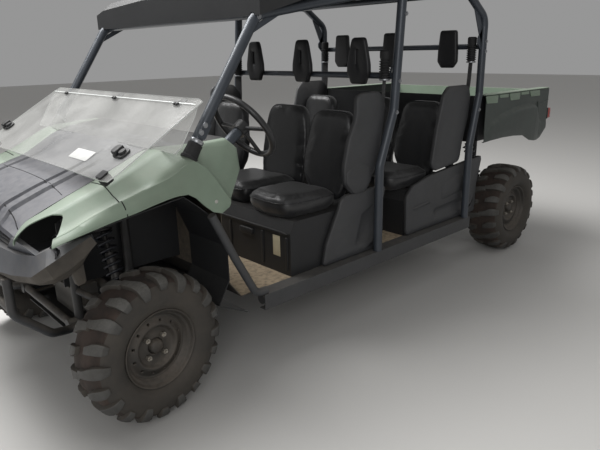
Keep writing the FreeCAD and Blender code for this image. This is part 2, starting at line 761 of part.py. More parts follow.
def back_front(right, left, low, top, x):
    """A back seen from the front: the upper corners are rounded off."""
    reach = size("back_corner")
    bow = reach * (1 - math.sqrt(0.5))
    corners = [point(x, right, low), point(x, right, top - reach), point(x, right + reach, top),
               point(x, left - reach, top), point(x, left, top - reach), point(x, left, low)]
    middle = point(x, right + bow, top - bow), point(x, left - bow, top - bow)
    edges = [Part.makeLine(corners[0], corners[1]), Part.Arc(corners[1], middle[0], corners[2]).toShape(),
             Part.makeLine(corners[2], corners[3]), Part.Arc(corners[3], middle[1], corners[4]).toShape(),
             Part.makeLine(corners[4], corners[5]), Part.makeLine(corners[5], corners[0])]
    return Part.Face(Part.Wire(edges)).extrude(point(500, 0, 0))


def seat_rows(maker):
    front_low, rear_low = size("front_box_top") + size("seat_gap"), size("rear_box_top") + size("seat_gap")
    return Part.makeCompound(maker(size("front_back_x"), front_low) + maker(size("rear_back_x"), rear_low))


node("seat_cushions", seat_rows(cushions))
node("seat_backs", seat_rows(backs))


# Side bolsters beside the outer seats and the panels below them

SIDE_TOP_Z = 716
# the rear panel's top edge rises towards the bed from the first to the second of these points
REAR_LEDGE = ((-470, 700), (-1095, 752))


def rear_ledge(x):
    (x1, z1), (x2, z2) = REAR_LEDGE
    return z1 + (z2 - z1) * (x - x1) / (x2 - x1)


def seat_sides():
    inner = size("floor_half") + size("seat_gap")
    outer, low = inner + size("side_panel_thick"), size("floor_z") + size("seat_gap")
    rest = SIDE_TOP_Z + size("seat_gap")
    front_panel = [(484, low), (455, 480), (330, SIDE_TOP_Z), (-30, SIDE_TOP_Z), (20, 560), (40, low)]
    front_bolster = [(299, rest), (268, 1200), (205, 1252), (60, 1250), (10, 1170), (24, 960), (118, 800),
                     (118, rest)]
    rear_panel = [(-243, low), (-232, 620), REAR_LEDGE[0], REAR_LEDGE[1], (-1040, 560), (-1035, low)]
    rear_bolster = [(-490, rear_ledge(-490) + size("seat_gap")), (-586, 1191), (-640, 1240), (-860, 1240),
                    (-890, 1170), (-876, 1030), (-826, 880), (-800, rear_ledge(-800) + size("seat_gap"))]
    outlines = (front_panel, front_bolster, rear_panel, rear_bolster)
    shapes = [side_plate(outline, inner, outer) for outline in outlines]
    return Part.makeCompound(shapes + [mirrored(s) for s in shapes])


node("seat_sides", seat_sides())


# Roll-over structure: front pillars, middle hoop, rear hoop, roof rails and head bars

def hoop_x(z):
    """Where the middle hoop's pillar stands at a height above its upper bend."""
    (x1, z1), (x2, z2) = (-38, 1145), (-90, size("rops_top_z"))
    return x1 + (x2 - x1) * (z - z1) / (z2 - z1)


def rail_top_z():
    """The roof's side rails meet the middle hoop part way up its bend."""
    return size("rops_top_z") - size("rail_drop")


def rail_end_y():
    """Where the middle hoop's bend passes through the height of the side rails."""
    radius = size("bend_radius")
    return size("rops_y") - radius + math.sqrt(radius ** 2 - (radius - size("rail_drop")) ** 2)


def hoop_tube(radius):
    y, top, foot = size("rops_y"), size("rops_top_z"), size("floor_z") + size("seat_gap")
    path = [(75, y, foot), (75, y, 850), (-38, y, 1145), (-90, y, top)]
    corners = path + [(x, -y, z) for x, y, z in reversed(path)]
    return bent_tube(corners, radius, size("bend_radius"))


def pillar_tube(radius):
    """The left front pillar and the side rail that it turns into, from the cowl to the middle hoop."""
    y, z = size("rops_y"), rail_top_z()
    knee = (size("knee_x"), y, size("rops_top_z") - size("knee_drop"))
    return bent_tube([(1330, y, 1004), knee, (hoop_x(z), rail_end_y(), z)], radius, size("bend_radius"))


def front_cage():
    """Two pillars that turn into the roof's side rails, and the bar between their knees."""
    side = pillar_tube(size("rops_radius") - 2)
    side = side.cut(under_fender() + [hoop_tube(size("rops_radius") + size("seat_gap"))])
    y, x, z = size("rops_y"), size("knee_x") - 25, size("rops_top_z") - size("knee_drop") + 5
    bar = rod(point(x, -y, z), point(x, y, z), size("roof_bar_radius"))
    return joined([side, mirrored(side), bar])


def middle_hoop():
    y, tube = size("rops_y"), hoop_tube(size("rops_radius"))
    bar_z = size("front_bar_z")
    bar = rod(point(hoop_x(bar_z), -y, bar_z), point(hoop_x(bar_z), y, bar_z), size("bar_radius"))
    return joined([tube, bar])


def rear_cage():
    """Two pillars that turn forward into side rails, a bar over the top and one behind the heads."""
    y, z, foot = size("rops_y"), rail_top_z(), size("floor_z") + size("seat_gap")
    knee_z = size("rops_top_z") - size("rear_knee_drop")
    side = bent_tube([(-850, y, foot), (-850, y, 850), (-930, y, 1180), (-930, y, knee_z), (-720, y, z),
                      (hoop_x(z), rail_end_y(), z)], size("rops_radius") - 1, size("bend_radius"))
    side = side.cut(hoop_tube(size("rops_radius") + size("seat_gap")))
    top = rod(point(-700, -y, z), point(-700, y, z), size("roof_bar_radius"))
    bar = rod(point(-930, -y, size("rear_bar_z")), point(-930, y, size("rear_bar_z")), size("bar_radius"))
    return joined([side, mirrored(side), top, bar])


# Moulded roof

def roof_panel():
    half, wall, crown = size("roof_half"), size("panel_wall"), 45
    # columns: x, drop of the side edge below the crown's highest line, depth of the skirt
    table = ((925, 232, 78), (870, 190, 105), (500, 85, 105), (0, 32, 75), (-500, 27, 75), (-840, 52, 80),
             (-900, 82, 50))
    high = size("rops_top_z") + size("roof_rise") - crown + 27
    stations = []
    for x, drop, skirt in table:
        edge = high - drop
        line = [(-half, edge - skirt), (-half, edge), (-half + 90, edge + 22), (-200, edge + crown),
                (200, edge + crown), (half - 90, edge + 22), (half, edge), (half, edge - skirt)]
        stations.append((x, line))
    shell = skin(stations, wall)
    x, line = stations[0]
    front = outline_face([(x, y, z) for y, z in line]).extrude(point(-wall, 0, 0))
    blocks = []
    for x, tube_top in ((hoop_x(size("rops_top_z")), size("rops_top_z") + size("rops_radius")),
                        (-700, rail_top_z() + size("roof_bar_radius"))):
        for y in (-420, 420):
            foot = tube_top + size("seat_gap")
            blocks.append(box((x - 22, y - 22, foot), (x + 22, y + 22, high - 27 + 25)))
    notch = pillar_tube(size("rops_radius") - 2 + size("roof_notch"))
    return joined([shell, front] + blocks).cut([notch, mirrored(notch)])


node("roof_panel", roof_panel())


# Headrests on the head bars

def headrests(bar_x, offsets, low, top, width, slot):
    shapes = []
    front = bar_x + size("bar_radius") + size("seat_gap")
    for y in offsets:
        half = width / 2
        outline = [(y - half + 30, low), (y + half - 30, low), (y + half, low + 60), (y + half, top - 30),
                   (y + half - 25, top), (y - half + 25, top), (y - half, top - 30), (y - half, low + 60)]
        face = outline_face([(front, u, v) for u, v in outline])
        block = face.extrude(point(size("headrest_thick"), 0, 0))
        if slot:
            block = block.cut(box((front - 1, y - 11, top - 125), (front + 60, y + 11, top - 60)))
        shapes.append(block)
    return shapes


def headrest_rows():
    front = headrests(hoop_x(size("front_bar_z")), (460, 0, -460), 1276, 1531, size("headrest_width"), True)
    rear = headrests(-930, (470, 0, -470), 1337, 1579, size("headrest_width") - 15, False)
    return Part.makeCompound(front + rear)


node("headrests", headrest_rows())


# Belt reels on the pillars with their ribbed sleeves

def belt_reels():
    y = size("rops_y") - size("rops_radius") - 26
    shapes = []
    case, ring = size("reel_radius"), size("reel_radius") + 5
    beside = size("bar_radius") + size("seat_gap")
    # the front reel's case lies on the bar, the rear one's rings do
    for x, z in ((hoop_x(size("front_bar_z")) + beside + case, 1360), (-930 + beside + ring, 1430)):
        body = Part.makeCylinder(case, 70, point(x, y, z - 50))
        rings = [Part.makeCylinder(ring, 8, point(x, y, z + 22 + 16 * k)) for k in range(5)]
        core = Part.makeCylinder(case - 1, 90, point(x, y, z + 10))
        shapes.append(joined([body, core] + rings))
    return Part.makeCompound(shapes + [mirrored(s) for s in shapes])


node("belt_reels", belt_reels())


# Dash

def dash_outline():
    low = size("dash_low_z")
    return [(1224.6, 1090), (1027, 1108), (985, 1040), (990, 946), (1040, low), (1108, low), (1130, 900),
            (1224.6, 1000)]


dash = pad_body("dash_moulding", "XZ_Plane", dash_outline(), "sizes.dash_half * 2", True)
kept(dash, "dash")


# Steering column and wheel

def column_axis():
    tilt = math.radians(size("wheel_tilt_deg"))
    return point(math.cos(tilt), 0, -math.sin(tilt))


def steering_column():
    centre = point(size("wheel_x"), size("wheel_y"), size("wheel_height"))
    axis = column_axis()
    reach = (size("column_end_x") - size("wheel_x")) / axis.x
    tube = rod(centre + axis * 40, centre + axis * reach, size("steer_column_radius"))
    return tube.cut(dash.Shape)


node("steering_column", steering_column())


def steering_wheel():
    centre = point(size("wheel_x"), size("wheel_y"), size("wheel_height"))
    axis = column_axis()
    ring = Part.makeTorus(size("wheel_ring"), size("wheel_grip"), centre, axis)
    hub = rod(centre - axis * 8, centre + axis * 39.6, 38)
    tilt = math.radians(size("wheel_tilt_deg"))
    up = point(math.sin(tilt), 0, math.cos(tilt))
    across = point(0, 1, 0)
    spokes = []
    for degrees in (0, 180, 270):
        turn = math.radians(degrees)
        end = centre + (across * math.cos(turn) + up * math.sin(turn)) * size("wheel_ring")
        spokes.append(rod(centre + axis * 12, end, 10))
    return joined([ring, hub] + spokes)


node("steering_wheel", steering_wheel())


# Hood, fenders and nose

# columns: x, half width of the hood, its height there, outer ridge y and z, crease z, lower edge z
NOSE = ((1925, 546, 834, 575, 840, 832, 806), (1895, 500, 850, 562, 858, 844, 815),
        (1850, 462, 874, 556, 880, 862, 847), (1700, 455, 935, 572, 942, 905, 868),
        (1540, 436, 990, 590, 1004, 952, 895), (1370, 470, 1070, 604, 1082, 996, 926),
        (1295, 480, 1090, 604, 1096, 1037, 927))
COWL = ((1294, 480, 1090, 604, 1096, 1037, 927), (1225, 603, 1094, 640, 1096, 1062, 856),
        (1170, 603, 1100, 645, 1104, 1073, 819), (1060, 603, 1106, 650, 1112, 1094, 815),
        (1000, 603, 1108, 650, 1112, 1100, 905))


def hood_panel():
    """The middle of the nose, with a raised field that fades out towards the screen."""
    stations = []
    for x, half, edge, _, _, _, _ in NOSE + COWL[1:2]:
        inner = half - size("hood_gap")
        crown = edge + 10 + 18 * max(0, min(1, (x - 1350) / 300))
        low = crown - 9
        stations.append((x, [(-inner, edge), (-inner * 0.74, low), (-inner * 0.66, crown),
                             (inner * 0.66, crown), (inner * 0.74, low), (inner, edge)]))
    return skin(stations, size("panel_wall"))


def fender(table):
    stations = []
    for x, half, edge, ridge_y, ridge_z, crease, low in table:
        stations.append((x, [(725, low), (700, crease), (ridge_y, ridge_z), (half, edge)][::-1]))
    return skin(stations, size("panel_wall"))


def lamp_opening():
    """The headlamp's opening, which splits the fender's front end into two prongs."""
    corners = [(1752, 594), (1800, 556), (1862, 530), (1919, 549), (2000, 560), (2000, 800), (1862, 800),
               (1858, 726), (1817, 664)]
    return flat_plate(corners, 700, 1000)


def front_fender():
    return fender(NOSE).cut(lamp_opening())


def under_fender():
    """The space below the left fender and cowl side, raised by the seat gap."""
    blocks = []
    for table in (NOSE, COWL):
        wires = []
        for x, half, edge, ridge_y, ridge_z, crease, low in table:
            line = [(half, edge), (ridge_y, ridge_z), (700, crease), (725, low), (760, 700), (half, 700)]
            ring = [point(x, y, z + size("seat_gap")) for y, z in line]
            wires.append(Part.makePolygon(ring + ring[:1]))
        blocks.append(Part.makeLoft(wires, True, True))
    return blocks


node("hood", hood_panel())
node("fenders", Part.makeCompound([both_sides(front_fender()), both_sides(fender(COWL))]))
node("front_cage", front_cage())
node("middle_hoop", middle_hoop())
node("rear_cage", rear_cage())


def nose_outline():
    x = size("nose_x")
    return [(1690, 690), (1800, 700), (1900, 600), (x - 6, 350), (x, 0)]


def front_fascia():
    outer = nose_outline()
    line = outer + [(px, -py) for px, py in reversed(outer[:-1])]
    low, high = size("fascia_low_z"), size("fascia_high_z")
    over = [(1600, 836), (1710, 828), (1850, 806), (1905, 786), (2000, 774), (2000, 900), (1600, 900)]
    under = [(1600, 600), (1600, 840), (1643, 781), (1683, 722), (1725, 672), (1760, low), (1760, 600)]
    bumper = flat_plate(thickened(line, size("bumper_thick")), low, high + 44)
    bumper = bumper.cut([side_plate(over, -800, 800), side_plate(under, -800, 800)])
    nose = size("nose_x")
    nose, half, base = size("nose_x"), size("grille_half"), high - 12
    frame = box((nose - 87, -half - 8, base - 4), (nose - 23, half + 8, base + 44))
    frame = frame.cut(box((nose - 95, -half, base + 4), (nose - 15, half, base + 40)))
    slats = [box((1875, -half - 1, base + rise), (1900, half + 1, base + rise + 3)) for rise in (12, 23)]
    posts = [box((1880, y, base), (1890, y + 4, base + 42)) for y in (-300, -200, -100, 0, 100, 200, 300)]
    corners = [(1725, 560), (1735, 668), (1850, 672), (nose - 40, 520), (nose - 30, 340), (1820, 340),
               (1730, 480)]
    shelf = flat_plate(corners, high - 14, high - 8)
    return joined([bumper, frame, shelf, mirrored(shelf)] + slats + posts)


node("front_fascia", front_fascia())


def headlamp():
    outline = [(1745, 600), (1780, 650), (1800, 655), (1866, 585), (1884, 490), (1845, 450), (1760, 490)]
    low = size("fascia_high_z") - 8 + size("seat_gap")
    return flat_plate(outline, low, low + size("lamp_height"))


node("headlamps", both_sides(headlamp()))


def wheel_liner():
    toe = size("toe_x") + size("floor_wall") + size("seat_gap")
    line = [(1003, 290), (1158, 371), (toe, 474), (toe + 2, 640), (1160, 785), (1235, 852), (1300, 905),
            (1480, 880), (1680, 850)]
    arch = side_plate(thickened(line, size("liner_wall")), size("floor_half") - size("liner_reach"),
                      size("rops_y") - 24)
    # the bay's inner wall lies against the suspension posts
    wall_y = size("rail_y") - size("post_radius") - size("seat_gap")
    sheet = [(toe + 8, 500), (1680, 500), (1680, 790), (1480, 850), (1232, 850), (1232, 805), (toe + 8, 805)]
    wall = side_plate(sheet, wall_y - size("liner_wall"), wall_y)
    return Part.makeCompound([arch, wall])


node("wheel_liners", both_sides(wheel_liner()))


# Front guard of bent tube

def front_guard():
    radius, y = size("guard_radius"), size("guard_y")
    x, high = size("nose_x") - radius - 4, size("fascia_low_z") - size("seat_gap")
    rail_side, end = size("rail_y") + size("rail_radius") + radius + size("seat_gap"), size("rail_front_x")
    side = bent_tube([(x, y, high), (x, y, 500), (1800, y, 372), (end + 15, rail_side, rail_z()),
                      (end - 35, rail_side, rail_z())], radius, 60)
    pieces = [side, mirrored(side)]
    for z in (size("guard_bar_z"), high - 25):
        pieces.append(rod(point(x, -y, z), point(x, y, z), radius - 3))
    return joined(pieces)


node("front_guard", front_guard())


# Windscreen: the lower half stands on the cowl, the upper half is folded forward over the hood

# the screen's foot on the hood, the hinge line and the folded half's free edge, as x and z
SCREEN_FOOT, SCREEN_HINGE, SCREEN_EDGE = (1345, 1087.9), (1228, 1283.7), (1600, 1046)


def along(start, end, reach):
    """The point that lies a distance from start towards end, in two coordinates."""
    du, dv = end[0] - start[0], end[1] - start[1]
    share = reach / math.hypot(du, dv)
    return (start[0] + du * share, start[1] + dv * share)


def windscreen():
    half, wall = size("screen_half"), size("screen_wall")
    lower = [SCREEN_FOOT, along(SCREEN_HINGE, SCREEN_FOOT, 1.5)]
    upper = [SCREEN_EDGE, along(SCREEN_HINGE, SCREEN_EDGE, -30)]
    return Part.makeCompound([side_plate(thickened(line, wall), -half, half) for line in (lower, upper)])


node("windscreen", windscreen())


def windscreen_fittings():
    """Hinge blocks in the corner behind the two halves, and the clips under the folded edge."""
    gap = size("seat_gap")
    down, back = along(SCREEN_HINGE, SCREEN_FOOT, 34), along(SCREEN_HINGE, SCREEN_EDGE, -24)
    corner = (SCREEN_HINGE[0] - gap * 2.2, SCREEN_HINGE[1] + gap * 0.3)
    wedge = [corner, (down[0] - gap * 0.85, down[1] - gap * 0.54),
             (back[0] - gap * 0.54, back[1] - gap * 0.84)]
    shapes = [side_plate(wedge, y - 20, y + 20) for y in (-640, -430, 60, 640)]
    edge = along(SCREEN_EDGE, SCREEN_HINGE, 30)
    clip = [(edge[0] - gap * 0.54, edge[1] - gap * 0.84), (edge[0] + 22, edge[1] - 14 - gap),
            (edge[0] + 8, edge[1] - 46), (edge[0] - 12, edge[1] - 40)]
    for side in (1, -1):
        shapes.append(side_plate(clip, side * 560 - 20, side * 560 + 20))
    return Part.makeCompound(shapes)


node("windscreen_fittings", windscreen_fittings())


# Cargo bed

def bed_tub():
    half, wall, low = size("bed_half"), size("bed_wall"), size("bed_floor_z")
    front, rear, top = size("bed_front_x"), size("bed_rear_x"), size("bed_top_z")
    outer = box((rear, -half - wall, low), (front, half + wall, top))
    tub = outer.cut(box((rear - 1, -half, low + wall), (front - wall, half, top + 1)))
    ribs = []
    for y in (-510, -340, -170, 0, 170, 340, 510):
        rib_top = low + wall + size("bed_rib_height")
        ribs.append(box((rear + 20, y - 25, low + wall - 1), (front - 40, y + 25, rib_top)))
    pivot_x, pivot_z = size("bed_pivot_x"), size("bed_pivot_z")
    ears = []
    for side in (1, -1):
        ear = [(pivot_x - 22, pivot_z - 22), (pivot_x + 22, pivot_z - 22), (pivot_x + 40, low + 1),
               (pivot_x - 40, low + 1)]
        y, half_ear = side * size("ear_y"), size("ear_thick") / 2
        ears.append(side_plate(ear, y - half_ear, y + half_ear))
    bore = rod(point(pivot_x, -400, pivot_z), point(pivot_x, 400, pivot_z), size("pivot_radius") + 0.4)
    return joined([tub] + ribs + ears).cut(bore)


node("bed_tub", bed_tub())


def bed_side():
    # columns: x, flare y, flare z, lower edge z
    table = ((-963, 748, 900, 862), (-1040, 756, 915, 866), (-1200, 766, 965, 864), (-1445, 770, 1057, 858),
             (-1600, 770, 1005, 806), (-1725, 766, 941, 806), (-1800, 752, 910, 815), (-1890, 742, 900, 868))
    stations = []
    top, inner = size("bed_top_z") + size("panel_wall") + size("seat_gap"), size("bed_half") - 20
    for x, flare_y, flare_z, low in reversed(table):
        line = [(inner, top), (735, top), (735, flare_z + 30), (flare_y, flare_z), (flare_y, low)]
        stations.append((x, line))
    return skin(stations, size("panel_wall"))


node("bed_sides", both_sides(bed_side()))


def tailgate():
    rear, half, low, top = size("bed_rear_x"), size("bed_half"), size("bed_floor_z"), size("bed_top_z")
    thick = size("gate_thick")
    inner = rear - size("seat_gap")
    reach = half + size("gate_lap")
    panel = box((inner - thick, -reach, low + 8), (inner, reach, top - 8))
    press = box((inner - thick - 1, -half + 90, low + 70), (inner - thick + 8, half - 90, top - 60))
    hinge = rod(point(rear - 16, -half + 60, low + 2), point(rear - 16, half - 60, low + 2),
                size("gate_hinge_radius"))
    return joined([panel.cut(press), hinge])


node("tailgate", tailgate())


def tail_lamps():
    front = size("bed_rear_x") - 5 - size("seat_gap")
    return both_sides(box((front - size("lamp_depth"), 693, 935), (front, 738, 1015)))


node("tail_lamps", tail_lamps())


doc.recompute()
for item in doc.Objects:
    if "Invalid" in item.State or "Error" in item.State:
        raise SystemExit("failed: " + item.Label)
for item in NODES:
    if item.Shape.isNull() or not item.Shape.isValid():
        raise SystemExit("bad shape: " + item.Label)

os.makedirs("parts", exist_ok=True)
for item in NODES:
    item.Shape.exportStep(os.path.join("parts", item.Label + ".step"))
print(len(NODES), "nodes")
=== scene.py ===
import json
import math

import bmesh
import bpy
from mathutils import Matrix, Vector


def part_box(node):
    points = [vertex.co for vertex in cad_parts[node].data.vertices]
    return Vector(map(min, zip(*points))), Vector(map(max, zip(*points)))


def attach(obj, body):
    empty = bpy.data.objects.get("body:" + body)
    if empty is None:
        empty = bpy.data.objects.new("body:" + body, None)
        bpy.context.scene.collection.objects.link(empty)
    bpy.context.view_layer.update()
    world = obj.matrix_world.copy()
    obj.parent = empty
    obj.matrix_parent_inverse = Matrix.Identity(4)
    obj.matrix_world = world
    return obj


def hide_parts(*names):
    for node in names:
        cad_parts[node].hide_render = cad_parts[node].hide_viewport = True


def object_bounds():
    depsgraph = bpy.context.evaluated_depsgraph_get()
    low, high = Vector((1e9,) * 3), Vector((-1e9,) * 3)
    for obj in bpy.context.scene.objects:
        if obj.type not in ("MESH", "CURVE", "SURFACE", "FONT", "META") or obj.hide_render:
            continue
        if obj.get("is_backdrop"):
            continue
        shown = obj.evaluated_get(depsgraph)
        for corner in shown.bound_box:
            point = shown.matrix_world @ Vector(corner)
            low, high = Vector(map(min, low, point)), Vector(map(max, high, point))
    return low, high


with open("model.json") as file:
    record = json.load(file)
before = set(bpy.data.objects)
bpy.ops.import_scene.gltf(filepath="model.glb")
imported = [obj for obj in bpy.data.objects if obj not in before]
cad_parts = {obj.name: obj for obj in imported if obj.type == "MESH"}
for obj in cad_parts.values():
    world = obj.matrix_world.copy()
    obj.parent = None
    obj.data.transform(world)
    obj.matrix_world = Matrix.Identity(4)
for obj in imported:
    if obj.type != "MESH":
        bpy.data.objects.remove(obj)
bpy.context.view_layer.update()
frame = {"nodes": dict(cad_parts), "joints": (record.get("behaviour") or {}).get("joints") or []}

# Welded steel frame.
# The chassis is a ladder of round steel tubes with posts over the axles, welded and then
# dipped in black powder coat; road dust lies on whatever faces up.

DUST = (0.33, 0.29, 0.24)


def add(nodes, kind, **constants):
    """A shader node with constants set on its own sockets."""
    node = nodes.new(kind)
    if kind == "ShaderNodeMix":
        node.data_type = "RGBA"
    for socket, value in constants.items():
        node.inputs[socket.replace("_", " ")].default_value = value
    return node


def shade(name, base, rough, metal=0.0, second=None, patch=3.0, dust=None, dusty=0.5, grain=500.0,
          depth=0.15, gloss=0.0, sheen=0.0):
    """A finish: base colour with soft patches of a second one, dust on upward faces and a fine grain."""
    material = bpy.data.materials.new(name)
    material.use_nodes = True
    nodes, links = material.node_tree.nodes, material.node_tree.links
    skin = nodes["Principled BSDF"]
    skin.inputs["Metallic"].default_value = metal
    skin.inputs["Coat Weight"].default_value = gloss
    skin.inputs["Coat Roughness"].default_value = 0.25
    skin.inputs["Sheen Weight"].default_value = sheen
    place = add(nodes, "ShaderNodeTexCoord")
    cloud = add(nodes, "ShaderNodeTexNoise", Scale=patch, Detail=6.0, Roughness=0.65)
    links.new(place.outputs["Object"], cloud.inputs["Vector"])
    spread = add(nodes, "ShaderNodeMapRange", From_Min=0.35, From_Max=0.68)
    links.new(cloud.outputs["Fac"], spread.inputs["Value"])
    blend = add(nodes, "ShaderNodeMix", A=(*base, 1), B=(*(second or [c * 0.75 for c in base]), 1))
    links.new(spread.outputs["Result"], blend.inputs["Factor"])
    colour = blend.outputs["Result"]
    if dust:
        facing, split = add(nodes, "ShaderNodeNewGeometry"), add(nodes, "ShaderNodeSeparateXYZ")
        links.new(facing.outputs["Normal"], split.inputs["Vector"])
        up = add(nodes, "ShaderNodeMapRange", From_Min=-0.2, From_Max=1.0, To_Max=dusty)
        links.new(split.outputs["Z"], up.inputs["Value"])
        speck = add(nodes, "ShaderNodeTexNoise", Scale=patch * 7, Detail=8.0)
        links.new(place.outputs["Object"], speck.inputs["Vector"])
        uneven = add(nodes, "ShaderNodeMapRange", From_Min=0.25, From_Max=0.75, To_Min=0.35, To_Max=1.25)
        links.new(speck.outputs["Fac"], uneven.inputs["Value"])
        amount = add(nodes, "ShaderNodeMath")
        amount.operation = "MULTIPLY"
        amount.use_clamp = True
        links.new(up.outputs["Result"], amount.inputs[0])
        links.new(uneven.outputs["Result"], amount.inputs[1])
        powder = add(nodes, "ShaderNodeMix", B=(*dust, 1))
        links.new(amount.outputs["Value"], powder.inputs["Factor"])
        links.new(colour, powder.inputs["A"])
        colour = powder.outputs["Result"]
        matt = add(nodes, "ShaderNodeMapRange", To_Min=rough, To_Max=0.95)
        links.new(amount.outputs["Value"], matt.inputs["Value"])
    else:
        matt = add(nodes, "ShaderNodeMapRange", To_Min=rough * 0.85, To_Max=min(1.0, rough * 1.2))
        links.new(spread.outputs["Result"], matt.inputs["Value"])
    links.new(matt.outputs["Result"], skin.inputs["Roughness"])
    links.new(colour, skin.inputs["Base Color"])
    pores = add(nodes, "ShaderNodeTexNoise", Scale=grain, Detail=3.0)
    links.new(place.outputs["Object"], pores.inputs["Vector"])
    relief = add(nodes, "ShaderNodeBump", Strength=depth, Distance=0.0006)
    links.new(pores.outputs["Fac"], relief.inputs["Height"])
    links.new(relief.outputs["Normal"], skin.inputs["Normal"])
    return material


def cover(material, *labels):
    """Gives solids of the frame their finish."""
    for label in labels:
        solid_mesh = frame["nodes"][label].data
        solid_mesh.materials.clear()
        solid_mesh.materials.append(material)


frame_coat = shade("black_powder_coat", (0.030, 0.032, 0.036), 0.48, metal=0.2, dust=DUST, dusty=0.45)
cover(frame_coat, "chassis_frame", "bed_subframe", "suspension_arms", "front_guard")

# Axle parts.
# Knuckles and the rack's tie rods are forged or turned steel with oily dust, and the half-shafts are
# painted. The gear cases and the engine block under the rear seats are raw castings.

bare_steel = shade("dusty_steel", (0.20, 0.19, 0.18), 0.5, metal=0.7, dust=DUST, dusty=0.6, patch=12)
casting = shade("raw_casting", (0.17, 0.165, 0.155), 0.7, metal=0.3, dust=DUST, dusty=0.6, grain=220,
                depth=0.4)
cover(bare_steel, "knuckle_left", "knuckle_right", "rack_bar")
cover(frame_coat, "half_shafts")
cover(casting, "gear_cases", "engine_block")

# Rims.
# Each wheel is pressed from black-painted steel sheet: a rolled lip, a dished disc with a ring of
# small holes and a raised ring, held by four plated nuts, all under a coat of dried mud.

WIDTHS = {"front": 0.205, "rear": 0.250}
RIM_LIP, RIM_SEAT, SEAT_SHARE, DISC_INSET = 0.168, 0.158, 0.80, 0.034
HOLE_CIRCLE, HOLE_RADIUS, HOLES, DRILL_REACH = 0.112, 0.0055, 12, 0.04
NUT_CIRCLE, NUT_RADIUS, STUD_RADIUS, NUTS, NUT_EDGE = 0.055, 0.0115, 0.006, 4, 0.0012
rim_paint = shade("muddy_rim_paint", (0.030, 0.028, 0.025), 0.50, metal=0.1, second=(0.056, 0.047, 0.038),
                  patch=9, dust=(0.22, 0.185, 0.15), dusty=0.5, grain=260, depth=0.3)
nut_plate = shade("plated_nut", (0.42, 0.39, 0.34), 0.4, metal=0.8, patch=40)


def from_faces(name, shape, *materials, smooth=True):
    """A piece of a shape, which is a list of points and a list of faces."""
    mesh = bpy.data.meshes.new(name)
    mesh.from_pydata(shape[0], [], shape[1])
    mesh.validate()
    if smooth:
        mesh.shade_smooth()
    piece = bpy.data.objects.new(name, mesh)
    bpy.context.scene.collection.objects.link(piece)
    for material in materials:
        mesh.materials.append(material)
    return piece


def true_faces(mesh):
    """Turns every face to the outside."""
    work = bmesh.new()
    work.from_mesh(mesh)
    bmesh.ops.recalc_face_normals(work, faces=work.faces)
    work.to_mesh(mesh)
    work.free()


def solid(name, shape, *materials, smooth=True):
    """A closed piece of a shape."""
    piece = from_faces(name, shape, *materials, smooth=smooth)
    true_faces(piece.data)
    return piece


def lathe(profile, count):
    """The shape of a profile of radius and y, turned about the axle."""
    points, faces = [], []
    for k in range(count):
        angle = 2 * math.pi * k / count
        for radius, y in profile:
            points.append((radius * math.cos(angle), y, radius * math.sin(angle)))
    step = len(profile)
    for k in range(count):
        here, ahead = k * step, (k + 1) % count * step
        for i in range(step - 1):
            faces.append((here + i, here + i + 1, ahead + i + 1, ahead + i))
    return points, faces


def circle(radius, sides, middle=(0.0, 0.0)):
    """The corners of a flat ring."""
    return [(middle[0] + radius * math.cos(2 * math.pi * k / sides),
             middle[1] + radius * math.sin(2 * math.pi * k / sides)) for k in range(sides)]


def prism(corners, axis, low, high):
    """The shape of a flat outline pushed along an axis; the outline gives the other two."""
    points = []
    for level in (low, high):
        for a, b in corners:
            where = [a, b]
            where.insert(axis, level)
            points.append(tuple(where))
    count = len(corners)
    faces = [tuple(range(count))[::-1], tuple(range(count, 2 * count))]
    for k in range(count):
        nxt = (k + 1) % count
        faces.append((k, nxt, nxt + count, k + count))
    return points, faces


def merged(*shapes):
    """Several shapes as one."""
    points, faces = [], []
    for more_points, more_faces in shapes:
        start = len(points)
        points += more_points
        faces += [tuple(i + start for i in face) for face in more_faces]
    return points, faces


def keep(thing):
    """Applies a piece's modifiers."""
    bpy.context.view_layer.update()
    solved = thing.evaluated_get(bpy.context.evaluated_depsgraph_get())
    mesh = bpy.data.meshes.new_from_object(solved)
    thing.modifiers.clear()
    thing.data = mesh
    return thing


def rounded(thing, width, segments=2, angle=35):
    """Rounds a piece's sharp edges off."""
    bevel = thing.modifiers.new("edge", "BEVEL")
    bevel.width = width
    bevel.segments = segments
    bevel.limit_method = "ANGLE"
    bevel.angle_limit = math.radians(angle)
    bevel.harden_normals = False
    return keep(thing)


def cut_away(thing, shape, solver):
    """Takes a closed shape out of a piece."""
    cutter = solid("cutter", shape)
    drill = thing.modifiers.new("opening", "BOOLEAN")
    drill.object = cutter
    drill.operation = "DIFFERENCE"
    drill.solver = solver
    keep(thing)
    bpy.data.objects.remove(cutter)
    return thing


def wheel_place(joint):
    """The matrix that puts a wheel made about +Y, outer side first, onto its axle."""
    centre, axis = Vector(joint["pos_m"]), Vector(joint["axis"])
    outward = axis if centre.y > 0 else -axis
    upward = Vector((0, 0, 1))
    forward = outward.cross(upward)
    turn = Matrix((forward, outward, upward)).transposed().to_4x4()
    return Matrix.Translation(centre) @ turn


